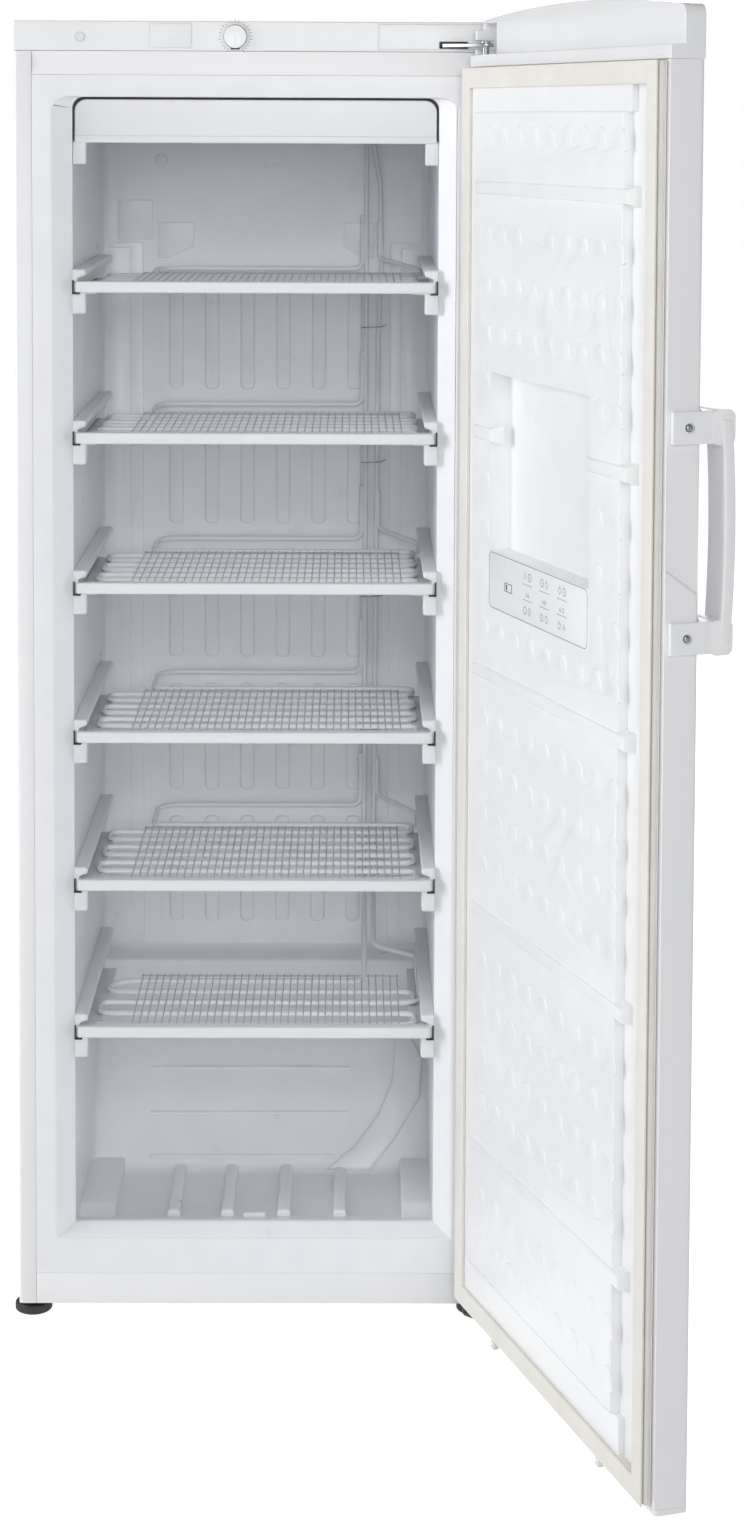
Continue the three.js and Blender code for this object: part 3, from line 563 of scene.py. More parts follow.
def drawn(name: str, points: Sequence[Place]) -> Piece:
    """Draws a chain of edges, from a single vertex that is extruded from point to point.

    Args:
        name: The piece's name.
        points: The chain's points in order, in millimetres.

    Returns:
        The new piece, whose last vertex isn't joined to its first.
    """
    bpy.ops.object.select_all(action="DESELECT")
    bpy.ops.mesh.primitive_plane_add(size=1, location=points[0])
    piece = bpy.context.object
    piece.name = name
    bpy.ops.object.transform_apply(location=True, rotation=True, scale=True)
    with editing(piece):
        bpy.ops.mesh.select_mode(type="VERT")
        bpy.ops.mesh.select_all(action="SELECT")
        bpy.ops.mesh.merge(type="CENTER")
        for before, after in zip(points, points[1:]):
            bpy.ops.mesh.extrude_region_move(
                TRANSFORM_OT_translate={"value": Vector(after) - Vector(before)})
    return piece


def slab(name: str, outline: Sequence[Place], way: Place) -> Piece:
    """Extrudes a flat outline into a solid.

    Args:
        name: The piece's name.
        outline: The outline's points, all in one plane.
        way: How far and in which direction the outline is extruded.

    Returns:
        The new solid.
    """
    piece = drawn(name, outline)
    with editing(piece):
        bpy.ops.mesh.select_all(action="SELECT")
        bpy.ops.mesh.edge_face_add()
        bpy.ops.mesh.extrude_region_move(TRANSFORM_OT_translate={"value": Vector(way)})
        bpy.ops.mesh.select_all(action="SELECT")
        bpy.ops.mesh.normals_make_consistent(inside=False)
    return piece


def turned(
    name: str, profile: Sequence[Pair], centre: Place, axis: Place = (0, 0, 1), steps: int = 48,
) -> Piece:
    """Spins a profile into a turned solid.

    Args:
        name: The piece's name.
        profile: Points as radius and distance along the axis; it starts and ends on the axis.
        centre: Where the profile's zero lies.
        axis: The axis of the turning.
        steps: How many steps stand for the round.

    Returns:
        The new solid.
    """
    along_axis = Vector(axis).normalized()
    out = along_axis.orthogonal().normalized()
    base = Vector(centre)
    piece = drawn(name, [tuple(base + out * r + along_axis * h) for r, h in profile])
    with editing(piece):
        bpy.ops.mesh.select_all(action="SELECT")
        bpy.ops.mesh.spin(steps=steps, angle=math.tau, center=base, axis=along_axis)
        bpy.ops.mesh.select_all(action="SELECT")
        bpy.ops.mesh.remove_doubles(threshold=0.001)
        bpy.ops.mesh.normals_make_consistent(inside=False)
    return piece


def bent(corners: Sequence[Place], radius: float, steps: int = 8, last: float = 0.0) -> list[Vector]:
    """Rounds the corners of a route.

    Args:
        corners: The route's corners.
        radius: The bend's radius at each corner.
        steps: How many steps each bend has.
        last: The radius of the last corner but one, if it is another.

    Returns:
        The points of the rounded route.
    """
    places = [Vector(corner) for corner in corners]
    points = [places[0]]
    for number, (before, here, after) in enumerate(zip(places, places[1:], places[2:]), start=4):
        bend = last if last and number == len(places) else radius
        inward = (here - before).normalized()
        outward = (after - here).normalized()
        turn = inward.angle(outward)
        trim = bend * math.tan(turn / 2)
        begin = here - inward * trim
        centre = begin + (outward - inward * outward.dot(inward)).normalized() * bend
        axis = inward.cross(outward).normalized()
        for step in range(steps + 1):
            spoke = Matrix.Rotation(turn * step / steps, 3, axis) @ (begin - centre)
            points.append(centre + spoke)
    points.append(places[-1])
    return [p for i, p in enumerate(points) if i == 0 or (p - points[i - 1]).length > 0.01]


def pipe(name: str, points: Sequence[Vector | Place], radius: float, sides: int = 3) -> Piece:
    """Makes a tube with closed ends along a route.

    Args:
        name: The piece's name.
        points: The route's points.
        radius: The tube's radius.
        sides: The curve's bevel resolution; the tube has four sides more than twice this.

    Returns:
        The new tube, as a mesh.
    """
    curve = bpy.data.curves.new(name, "CURVE")
    curve.dimensions = "3D"
    spline = curve.splines.new("POLY")
    spline.points.add(len(points) - 1)
    for knot, point in zip(spline.points, points):
        knot.co = (*point, 1)
    curve.bevel_depth = radius
    curve.bevel_resolution = sides
    curve.use_fill_caps = True
    piece = bpy.data.objects.new(name, curve)
    bpy.context.collection.objects.link(piece)
    take_up(piece)
    bpy.ops.object.convert(target="MESH")
    piece = bpy.context.object
    with editing(piece):
        bpy.ops.mesh.select_all(action="SELECT")
        bpy.ops.mesh.remove_doubles(threshold=0.001)
        bpy.ops.mesh.normals_make_consistent(inside=False)
    return piece


def copied(piece: Piece, move: Place = (0, 0, 0), turn: Matrix | None = None) -> Piece:
    """Copies a piece with a mesh of its own, turned and then moved.

    Args:
        piece: The object to copy.
        move: How far the copy is moved.
        turn: The turn made before the move.

    Returns:
        The copy.
    """
    twin = piece.copy()
    twin.data = piece.data.copy()
    bpy.context.collection.objects.link(twin)
    twin.data.transform(Matrix.Translation(move) @ (turn or Matrix()))
    return twin


def welded(name: str, pieces: Sequence[Piece]) -> Piece:
    """Joins pieces into one object, without merging their skins.

    Args:
        name: The new object's name.
        pieces: The objects, which are used up.

    Returns:
        The joined object.
    """
    take_up(*pieces)
    if len(pieces) > 1:
        bpy.ops.object.join()
    pieces[0].name = name
    return pieces[0]


def combine(piece: Piece, others: Sequence[Piece], operation: str) -> Piece:
    """Adds other solids to a piece, or cuts them out of it, one closed skin in the end.

    Args:
        piece: The piece that is changed.
        others: The solids to add or cut; they are used up.
        operation: UNION, DIFFERENCE or INTERSECT.

    Returns:
        The same piece.
    """
    for other in others:
        tool = piece.modifiers.new("Joint", "BOOLEAN")
        tool.operation = operation
        tool.solver = "MANIFOLD"
        tool.object = other
        take_up(piece)
        bpy.ops.object.modifier_apply(modifier=tool.name)
        mesh = other.data
        bpy.data.objects.remove(other)
        bpy.data.meshes.remove(mesh)
    return piece


def rounded(piece: Piece, width: float, steps: int = 3, angle: float = 30.0) -> Piece:
    """Rounds every edge that is sharper than an angle.

    Args:
        piece: The piece that is changed.
        width: How wide the rounding is.
        steps: How many steps it has.
        angle: The least angle, in degrees, that is rounded.

    Returns:
        The same piece.
    """
    tool = piece.modifiers.new("Rounding", "BEVEL")
    tool.width = width
    tool.segments = steps
    tool.limit_method = "ANGLE"
    tool.angle_limit = math.radians(angle)
    tool.harden_normals = False
    take_up(piece)
    bpy.ops.object.modifier_apply(modifier=tool.name)
    return piece


def round_edges(piece: Piece, radius: float, steps: int, test: Callable[[Any], bool]) -> Piece:
    """Rounds the edges that pass a test.

    Args:
        piece: The piece that is changed.
        radius: The rounding's radius.
        steps: How many steps it has.
        test: Says whether an edge is rounded.

    Returns:
        The same piece.
    """
    with editing(piece):
        if choose(piece, Part.EDGE, test):
            bpy.ops.mesh.bevel(offset=radius, offset_type="OFFSET", segments=steps, affect="EDGES")
    return piece


# ---------------------------------------------------------------- where things go
@dataclass(frozen=True)
class Spaces:
    """The millimetre spaces that pieces are drawn in, and where they lie in the frame."""

    cabinet: Matrix
    door: Matrix

    @staticmethod
    def of_frame(frame: dict[str, Any]) -> "Spaces":
        """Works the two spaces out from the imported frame.


        Returns:
            The cabinet's space, and the space of the door as it lies when shut.
        """
        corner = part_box("side_panel_left")[0]
        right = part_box("side_panel_right")[1]
        shift = Matrix.Translation(((corner[0] + right[0]) / 2, corner[1], 0))
        scale = Matrix.Scale(MILLIMETRE, 4)
        hinge = next(j for j in frame["record"]["behaviour"]["joints"] if j["name"] == "door_hinge")
        pin = Matrix.Translation((hinge["pos_m"][0], hinge["pos_m"][1], 0))
        opened = Matrix.Rotation(math.radians(-hinge["range_deg"][0]), 4, "Z")
        return Spaces(shift @ scale, pin @ opened @ pin.inverted() @ shift @ scale)


@dataclass
class SubAssembly:
    """Pieces that are drawn in one space and ride on one body."""

    space: Matrix
    body: Body

    def from_node(self, node: str, width: float = 0.0, steps: int = 2) -> Piece:
        """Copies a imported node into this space, merges its skin and rounds its edges.

        Args:
            node: The node's name.
            width: How wide its edges are rounded, in millimetres.
            steps: How many steps the rounding has.

        Returns:
            The copy.
        """
        source = bpy.data.objects[node]
        twin = bpy.data.objects.new(node + "_body", source.data.copy())
        bpy.context.collection.objects.link(twin)
        twin.data.transform(self.space.inverted())
        with editing(twin):
            bpy.ops.mesh.select_all(action="SELECT")
            bpy.ops.mesh.remove_doubles(threshold=0.01)
            bpy.ops.mesh.dissolve_limited(angle_limit=math.radians(0.5))
        return rounded(twin, width, steps) if width else twin

    def keep(
        self,
        piece: Piece,
        finish: Finish,
        *nodes: str,
        body: Body | None = None,
        smooth: float = 35.0,
        name: str = "",
    ) -> Piece:
        """Puts a drawn piece in its place in the frame, dresses it and lets it ride.

        Args:
            piece: The piece, drawn in this space.
            finish: What it is made of.
            nodes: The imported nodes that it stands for.
            body: The body it rides on, if it isn't this sub-assembly's own.
            smooth: Edges below this angle, in degrees, are shaded smooth.
            name: The piece's name, if it isn't the node's with a mark.

        Returns:
            The piece.
        """
        piece.name = name or (nodes[0] + "_made" if nodes else piece.name)
        piece.data.name = piece.name
        piece.data.transform(self.space)
        take_up(piece)
        bpy.ops.object.shade_smooth_by_angle(angle=math.radians(smooth))
        piece.data.materials.clear()
        piece.data.materials.append(finish.material())
        if nodes:
            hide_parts(*nodes)
        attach(piece, (body or self.body).value)
        log.info("%s: %d faces", piece.name, len(piece.data.polygons))
        return piece


def dress_node(node: str, finish: Finish) -> None:
    """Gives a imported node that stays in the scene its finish.

    Args:
        node: The node's name.
        finish: Its finish.
    """
    mesh = bpy.data.objects[node].data
    mesh.materials.clear()
    mesh.materials.append(finish.material())


# ---------------------------------------------------------------- screws
@dataclass(frozen=True)
class Screw:
    """A pan-head screw with a cross recess."""

    radius: float = 4.4
    height: float = 2.3
    blade: float = 1.1

    def made(self, name: str, centre: Place, way: Place) -> Piece:
        """Models the head.

        Args:
            name: The piece's name.
            centre: Where the head's seat meets its axis.
            way: The direction in which the head stands out.

        Returns:
            The head, with its recess cut.
        """
        r, h = self.radius, self.height
        profile = [(0, -0.4), (r * 0.96, -0.4), (r, 0), (r * 0.97, h * 0.35), (r * 0.82, h * 0.7),
                   (r * 0.5, h * 0.93), (0, h)]
        head = turned(name, profile, centre, way, 28)
        axis = Vector(way).normalized()
        out = axis.orthogonal().normalized()
        deep = Vector(centre) + axis * h * 0.35
        cuts = []
        for turn in (0, 1):
            side = out if turn else axis.cross(out)
            other = axis.cross(side)
            points = [deep + side * a + other * b
                      for a, b in ((-r * 0.6, -self.blade / 2), (r * 0.6, -self.blade / 2),
                                   (r * 0.6, self.blade / 2), (-r * 0.6, self.blade / 2))]
            cuts.append(slab(name + "_recess", [tuple(p) for p in points], tuple(axis * h)))
        return combine(head, cuts, "DIFFERENCE")


# ---------------------------------------------------------------- cabinet shell
@dataclass
class CabinetShell(SubAssembly):
    """Side panels, worktop, back, base pan, rails and the sheet over the compressor."""

    half: float = 300.0
    depth: float = 520.0
    top: float = 1651.0
    strip_depth: float = 40.3
    strip_bottom: float = 1614.0
    panel_bottom: float = 330.0
    bead_levels: Sequence[float] = (1480.0, 1240.0, 1000.0, 760.0, 520.0)
    bead_half: float = 215.0
    screw_levels: Sequence[float] = (365.0, 700.0, 1035.0, 1370.0, 1590.0)

    def build(self) -> None:
        """Builds the shell."""
        for node in ("side_panel_left", "side_panel_right"):
            self.keep(self.from_node(node, 0.35, 2), CABINET_PAINT, node)
        for node in ("front_top_rail", "front_bottom_rail"):
            self.keep(self.from_node(node, 0.5, 3), CABINET_PAINT, node)
        self.keep(self.worktop(), WHITE_ABS, "top_panel")
        self.keep(self.back(), ZINC_SHEET, "back_panel")
        self.keep(self.from_node("base_pan", 0.3), ZINC_SHEET, "base_pan")
        self.keep(self.from_node("compartment_sheet", 0.3), ZINC_SHEET, "compartment_sheet")
        dress_node("insulation_foam", POLYURETHANE)
        self.back_screws()

    def worktop(self) -> Piece:
        """Models the moulded top: rounded edges round a shallow sunk field.

        Returns:
            The top.
        """
        low = (-self.half, self.strip_depth, self.strip_bottom)
        lid = block("worktop", low, (self.half, self.depth, self.top))
        with editing(lid):
            choose(lid, Part.FACE, lambda f: f.normal.z > 0.9)
            bpy.ops.mesh.inset(thickness=16, depth=0)
            bpy.ops.mesh.inset(thickness=2.4, depth=-1.2)
            choose(lid, Part.FACE, lambda f: f.normal.z < -0.9)
            bpy.ops.mesh.inset(thickness=4, depth=0)
            bpy.ops.mesh.inset(thickness=0.2, depth=-(self.top - self.strip_bottom - 6))
        return rounded(lid, 2.2, 4, 40)

    def back(self) -> Piece:
        """Models the back sheet with its pressed beads.

        Returns:
            The sheet.
        """
        y0, y1 = self.depth - 1, self.depth
        edge = self.half - 1.3
        sheet = block("back", (-edge, y0, self.panel_bottom), (edge, y1, self.strip_bottom - 0.3))
        beads = []
        for z in self.bead_levels:
            bead = block("bead", (-self.bead_half, y0 + 0.2, z - 9), (self.bead_half, y1 + 2.2, z + 9))
            round_edges(bead, 8.9, 6, lambda e: along(e, 1))
            beads.append(rounded(bead, 1.6, 3, 50))
        return combine(sheet, beads, "UNION")

    def back_screws(self) -> None:
        """Adds the screws that hold the back sheet."""
        heads = []
        for side in SIDES:
            for level, z in enumerate(self.screw_levels):
                place = (side * (self.half - 10), self.depth + 0.1, z)
                heads.append(Screw().made(f"back_screw_{level}", place, (0, 1, 0)))
        self.keep(welded("back_screws", heads), ZINC_PLATE, name="back_screws")


# ---------------------------------------------------------------- inner liner
def rounded_outline(
        x0: float, x1: float, z0: float, z1: float, radius: float, steps: int = 5) -> list[Pair]:
    """Draws a rectangle with round corners.

    Args:
        x0: Its left side.
        x1: Its right side.
        z0: Its lower side.
        z1: Its upper side.
        radius: The corners' radius.
        steps: How many steps each corner has.

    Returns:
        The outline's points, counter-clockwise.
    """
    corners = ((x1 - radius, z0 + radius, -90), (x1 - radius, z1 - radius, 0),
               (x0 + radius, z1 - radius, 90), (x0 + radius, z0 + radius, 180))
    points = []
    for x, z, start in corners:
        for step in range(steps + 1):
            angle = math.radians(start + 90 * step / steps)
            points.append((x + radius * math.cos(angle), z + radius * math.sin(angle)))
    return points


def embossed(
        outline: Sequence[Pair], plane: float, proud: float, soft: float, facing: int = -1) -> Piece:
    """Makes a flat raised field with soft edges on an upright wall.

    Args:
        outline: The field's points as X and Z.
        plane: The Y of the wall that it stands on.
        proud: How far it stands out.
        soft: How wide its edges are rounded.
        facing: Which way along Y it stands out.

    Returns:
        The field, sunk a millimetre into the wall.
    """
    points = [(x, plane - facing, z) for x, z in outline]
    piece = slab("field", points, (0, facing * (proud + 1), 0))
    front = plane + facing * proud
    return round_edges(piece, soft, 3, lambda e: abs(middle(e).y - front) < 0.01 and not along(e, 1))


@dataclass
class Liner(SubAssembly):
    """The vacuum-formed liner of the cabinet, with its moulded ribs, plates and hump."""

    half: float = 229.0
    floor: float = 103.0
    top: float = 1557.0
    depth: float = 445.0
    corner: float = 14.0
    mouth: float = 253.0
    bevel: float = 16.0
    mouth_corner: float = 26.0
    foot: float = 236.0
    shoulder: float = 390.0
    hump: float = 353.0
    flange_half: float = 277.7
    flange_low: float = 58.0
    flange_high: float = 1584.0
    wall: float = 3.0
    shelves: Sequence[float] = (1320.0, 1130.0, 940.0, 750.0, 560.0, 370.0)

    def build(self) -> None:
        """Builds the liner."""
        flange = block(
            "liner", (-self.flange_half, 0, self.flange_low),
            (self.flange_half, self.wall, self.flange_high))
        shell = combine(flange, [self.collar(), self.tub()], "UNION")
        combine(shell, [self.cavity()], "DIFFERENCE")
        round_edges(shell, 2.2, 3, self.on_mouth)
        raised = [self.sill(), *self.wall_ribs(), *self.plates(), *self.floor_ribs(), *self.slope_ribs()]
        combine(shell, raised, "UNION")
        self.keep(shell, LINER_SHEET, "inner_liner", smooth=40)

    def on_mouth(self, edge: Any) -> bool:
        """Says whether an edge runs round the opening in the front face.

        Args:
            edge: An edge in edit mode.

        Returns:
            True for such an edge.
        """
        spot = middle(edge)
        flat = abs(edge.verts[0].co.y) < 0.01 and abs(edge.verts[1].co.y) < 0.01
        return flat and abs(spot.x) < self.mouth + 2 and self.floor - 1 < spot.z < self.top + 1

    def collar(self) -> Piece:
        """Returns the block round the mouth."""
        reach = self.mouth + self.wall
        return block("collar", (-reach, 0, self.floor - self.wall), (reach, 20, self.top + self.wall))

    def tub(self) -> Piece:
        """Models the liner's outside, behind the mouth.

        Returns:
            The solid tub.
        """
        w = self.wall
        slope = (self.shoulder - self.foot) / (self.hump - self.floor)
        side = ((0, self.floor - w), (self.foot + w * slope, self.floor - w),
                (self.shoulder + w, self.hump - w), (self.depth + w, self.hump - w),
                (self.depth + w, self.top + w), (0, self.top + w))
        reach = self.half + w
        return slab("tub", [(-reach, y, z) for y, z in side], (2 * reach, 0, 0))

    def cavity(self) -> Piece:
        """Models the room inside the liner, all its edges rounded, with the bevelled mouth.

        Returns:
            The cutter.
        """
        side = ((-2, self.floor), (self.foot, self.floor), (self.shoulder, self.hump - 1),
                (self.depth, self.hump), (self.depth, self.top), (-2, self.top))
        room = slab("room", [(-self.half, y, z) for y, z in side], (2 * self.half, 0, 0))
        round_edges(room, self.corner, 6, lambda e: middle(e).y > -1.5 and not self.on_shoulder(e))
        round_edges(room, 4, 4, self.on_shoulder)
        wide = self.mouth + 2.7
        bevel = slab(
            "bevel",
            [(-wide, -1.8, self.floor), (wide, -1.8, self.floor), (self.half, self.bevel, self.floor),
             (-self.half, self.bevel, self.floor)],
            (0, 0, self.top - self.floor))
        ends = block("bevel_ends", (-wide, -2, self.floor), (wide, self.bevel + 1, self.top))
        round_edges(ends, self.mouth_corner, 8, lambda e: along(e, 1) and middle(e).z > self.top - 1)
        combine(bevel, [ends], "INTERSECT")
        return combine(room, [bevel], "UNION")

    def on_shoulder(self, edge: Any) -> bool:
        """Says whether an edge is the one where the slanted wall meets the ledge."""
        return along(edge, 0) and abs(middle(edge).y - self.shoulder) < 1

    def sill(self) -> Piece:
        """Models the sill at the mouth's lower edge: a bevel up, then a slow fall to the floor.

        Returns:
            The sill.
        """
        low = self.floor - 1.5
        side = ((0.6, low), (self.bevel, self.floor + 17), (self.bevel + 5, self.floor + 17), (82, low))
        return round_edges(
            slab("sill", [(-self.mouth, y, z) for y, z in side], (2 * self.mouth, 0, 0)), 2.5, 4,
            lambda e: along(e, 0) and middle(e).z > self.floor + 10)

    def wall_ribs(self) -> list[Piece]:
        """Models the ribs on the back wall, six in each of the middle compartments.

        Returns:
            The ribs.
        """
        ribs = []
        for above, below in zip(self.shelves, self.shelves[1:]):
            for column in range(6):
                x = (column - 2.5) * 50
                outline = rounded_outline(x - 10, x + 10, below + 22, above - 16, 7)
                ribs.append(embossed(outline, self.depth, 3.2, 2.6))
        return ribs

    def plates(self) -> list[Piece]:
        """Models the flat raised fields on the back wall.

        Returns:
            The fields.
        """
        low = self.hump + 6
        fields = [
            (rounded_outline(-236, -171, low, 1358, 6), 2.4, 1.6),
            (rounded_outline(-236, -189, low, 1351, 3), 3.9, 1.2),
            (rounded_outline(174, 236, low, 1358, 6), 2.4, 1.6),
            (rounded_outline(190, 236, low, 1351, 3), 3.9, 1.2),
            (rounded_outline(-206, -158, 1361, 1417, 3), 1.8, 1.2),
            ([(-151, 1336), (-138, 1336), (-100, 1352), (-100, 1386), (-151, 1386)], 2.2, 1.4),
            ([(139, 1336), (152, 1336), (152, 1386), (109, 1386), (109, 1352)], 2.2, 1.4),
            (rounded_outline(-155, -137, 1464, 1482, 8.9, 6), 2.6, 1.6),
            (rounded_outline(-4, 4, 1461, 1469, 3.9), 1.4, 0.9),
            (rounded_outline(8, 30, 1462, 1468, 2.9), 0.8, 0.5),
        ]
        return [embossed(outline, self.depth, proud, soft) for outline, proud, soft in fields]

    def floor_ribs(self) -> list[Piece]:
        """Models the ribs, the two plateaus and the small stop on the floor.

        Returns:
            These pieces.
        """
        z = self.floor
        solids = []
        for x0, x1 in ((-115, -99), (-45, -29), (28, 45), (101, 117)):
            rib = block("floor_rib", (x0, 75, z - 1), (x1, self.foot + 9, z + 9))
            round_edges(rib, 4.5, 4, lambda e: middle(e).z > z + 8)
            solids.append(rib)
        side = ((34, z - 1), (84, z + 16), (self.foot + 16, z + 16), (self.foot + 16, z - 1))
        for x0, x1 in ((-self.half - 1, -183), (190, self.half + 1)):
            plateau = slab("plateau", [(x0, y, h) for y, h in side], (x1 - x0, 0, 0))
            round_edges(plateau, 4, 4, lambda e: middle(e).z > z + 4 and abs(middle(e).x) < self.half)
            solids.append(plateau)
        stop = block("stop", (-16, 66, z - 1), (13, 74, z + 8))
        solids.append(rounded(stop, 1.2, 3))
        return solids

    def slope_ribs(self) -> list[Piece]:
        """Models the ribs and the duct on the slanted wall over the compressor.

        Returns:
            These pieces.
        """
        lean = math.atan2(self.shoulder - self.foot, self.hump - 1 - self.floor)
        rise = math.cos(lean)
        turn = Matrix.Rotation(-lean, 4, "X")
        shapes = [
            (rounded_outline(-151, x1, s - 2.6, s + 2.6, 2.5), 2.6, 1.6)
            for x1, s in ((122, 119.5 / rise), (122, 67 / rise), (102, 17.5 / rise))]
        duct = [(184.5, 256.4), (179.7, 206.5), (160.2, 167.4), (128.7, 132.1), (89.5, 104.0),
                (151.4, 104.0), (184.3, 140.8), (217.8, 187.4), (222.7, 231.3), (205.0, 262.0)]
        shapes.append(([(x, (z - self.floor) / rise) for x, z in reversed(duct)], 9.0, 5.0))
        solids = []
        for outline, proud, soft in shapes:
            rib = embossed(outline, 0, proud, soft)
            rib.data.transform(Matrix.Translation((0, self.foot, self.floor)) @ turn)
            solids.append(rib)
        return solids


# ---------------------------------------------------------------- evaporator
@dataclass
class Evaporator(SubAssembly):
    """Six shelves of tube and wire in their frames, the pipes on the back wall and the front cover."""

    half: float = 229.0
    gap: float = 0.3
    shelves: Sequence[float] = (1320.0, 1130.0, 940.0, 750.0, 560.0, 370.0)
    trim: float = 14.0
    front: float = 3.0
    depth: float = 19.0
    arm: float = 17.0
    rail_back: float = 412.0
    top: float = 1557.0
    radius: float = 3.5
    reach: float = 205.0
    first: float = 42.0
    pitch: float = 41.0
    low_pitch: float = 47.0
    runs: int = 7
    back: float = 434.0
    riser_left: float = 141.0
    riser_right: float = 162.0
    wires: int = 37
    wire_field: Pair = (-158.0, 185.0)
    wire_radius: float = 0.8

    def build(self) -> None:
        """Builds the evaporator."""
        frame = self.shelf_frame()
        for level, z in enumerate(self.shelves, start=1):
            self.keep(copied(frame, (0, 0, z)), GREY_STYRENE, f"shelf_frame_{level}")
            # The wires take a grey that is painted shade.
            self.keep(self.grid(z, 303 if level < 6 else 247), WIRE_PAINT_SHADED, f"wire_grid_{level}", smooth=60)
            tube = self.serpentine(level, z) if level < 6 else self.lowest_serpentine(z)
            self.keep(tube, TUBE_PAINT, f"evaporator_tube_{level}", smooth=60)
        bpy.data.objects.remove(frame)
        self.end_clips()
        self.keep(self.cover(), GREY_STYRENE, "evaporator_front_cover")
        # A black strip behind the cover paints the shade in the gap round it.
        self.keep(self.cover_seal(), BLACK_NYLON, name="cover_seal")
        self.keep(self.ceiling(), TUBE_PAINT, "ceiling_evaporator", smooth=60)
        self.risers()
        self.clips()

    def shelf_frame(self) -> Piece:
        """Models a shelf's front trim with its guide rails and ledges.

        Returns:
            The frame, its middle at height zero.
        """
        end = self.half - self.gap
        low, high = -self.trim / 2, self.trim / 2
        y0, y1 = self.front, self.front + self.depth
        outline = [(-end, y0 + 5, low), (-end + 5, y0, low), (end - 5, y0, low), (end, y0 + 5, low),
                   (end, y1, low), (-end, y1, low)]
        trim = slab("trim", outline, (0, 0, high - low))
        round_edges(trim, 2.4, 4, lambda e: middle(e).y < y0 + 6 or along(e, 0))
        parts = []
        for side in SIDES:
            inner, wall = side * (self.half - self.arm), side * end
            rail = [(side * (self.half - 7), low + 4), (wall, low + 4), (wall, 22), (inner, 22),
                    (inner, 13.5), (side * (self.half - 6), 10.5)]
            rail_piece = slab("rail", [(x, y0 + 6, z) for x, z in rail], (0, self.rail_back - y0 - 6, 0))
            parts.append(round_edges(
                rail_piece, 3.0, 4, lambda e: abs(middle(e).x) < self.half - 8 and middle(e).z > 10))
            x0, x1 = sorted((inner, wall))
            hook = block("hook", (x0, y0 + 5, low - 27), (x1, y0 + 29, 3))
            parts.append(round_edges(
                hook, 3.0, 3, lambda e: middle(e).z < 0 and abs(middle(e).x) < self.half - 1))
            x0, x1 = sorted((side * (self.reach - 6), wall))
            ledge = block("ledge", (x0, y0 + 8, -8.8), (x1, 302, -4.8))
            parts.append(rounded(ledge, 1.0, 2))
        return combine(trim, parts, "UNION")

    def end_clips(self) -> None:
        """Adds the dark clips that hold the ends of the six trims."""
        clips = []
        front, back = self.front - 0.2, self.front + 9
        for side in SIDES:
            for z in self.shelves:
                for width, z0, z1 in ((2.2, -8.6, 8.4), (10, -8.8, -7.3)):
                    x0, x1 = sorted((side * (self.half - width), side * (self.half - 0.4)))
                    clips.append(block("clip", (x0, front, z + z0), (x1, back, z + z1)))
        self.keep(welded("shelf_end_clips", clips), BLACK_NYLON, name="shelf_end_clips")

    def grid(self, shelf: float, end: float) -> Piece:
        """Returns the wires that lie across a shelf's tube.

        Args:
            shelf: The shelf's height.
            end: How far back the wires reach.

        Returns:
            The wires and the two bars that tie them.
        """
        z = shelf - 1 + self.radius + 0.6
        first, last = self.wire_field
        wire = rod("wire", (0, 29, z), (0, end, z), self.wire_radius, 8)
        step = (last - first) / (self.wires - 1)
        wires = [copied(wire, (first + i * step, 0, 0)) for i in range(self.wires)]
        bpy.data.objects.remove(wire)
        bars = [rod("bar", (first - 2, y, z - 1.3), (last + 2, y, z - 1.3), 1.1, 10) for y in (31, end - 3)]
        return welded("grid", [*wires, *bars])

    def serpentine(self, level: int, shelf: float) -> Piece:
        """Bends a shelf's tube, which ends at the pipes on the back wall.

        Args:
            level: The shelf's number from the top.
            shelf: The shelf's height.

        Returns:
            The tube.
        """
        z = shelf - 1
        corners: list[Place] = []
        for run in range(self.runs):
            y = self.first + run * self.pitch
            side = 1 if run % 2 else -1
            corners += [(side * self.reach, y, z), (-side * self.reach, y, z)]
        last = self.first + self.runs * self.pitch
        foot = self.riser_left - 5
        corners += [(self.reach, last, z), (-150, last, z), (-150, self.back, z + 3),
                    (foot, self.back, z + 3), (foot, self.back, z + 78)]
        tube = pipe("serpentine", bent(corners, 12.5, 7, last=30.0), self.radius, 3)
        if level % 2 == 0:
            return tube
        lean = self.riser_right - 3
        branch = [(lean, self.back, z + 70), (lean, self.back, z + 18),
                  (self.reach + 9, self.back - 60, z + 5), (self.reach + 9, last, z),
                  (self.reach - 10, last, z)]
        return welded("serpentine", [tube, pipe("branch", bent(branch, 9, 6), 3.2, 3)])

    def lowest_serpentine(self, shelf: float) -> Piece:
        """Bends the lowest shelf's tube, which is shallower and rises to the wall in one slope.

        Args:
            shelf: The shelf's height.

        Returns:
            The tube.
        """
        z = shelf - 1
        corners: list[Place] = []
        for run in range(4):
            y = self.first + run * self.low_pitch
            side = 1 if run % 2 else -1
            corners += [(side * self.reach, y, z), (-side * self.reach, y, z)]
        last = self.first + 4 * self.low_pitch
        corners += [(-self.reach + 14, last, z), (self.riser_left, last, z),
                    (self.riser_left, self.back, z + 110)]
        tube = pipe("serpentine", bent(corners, 14, 7, last=34.0), self.radius, 3)
        lean = self.riser_right - 8
        tail = [(lean, self.back, z + 96), (lean, 320, z + 24), (self.reach + 6, 300, z + 14),
                (self.reach + 9, 136, z + 2), (self.reach - 8, 136, z)]
        return welded("serpentine", [tube, pipe("tail", bent(tail, 13, 6), 3.2, 3)])

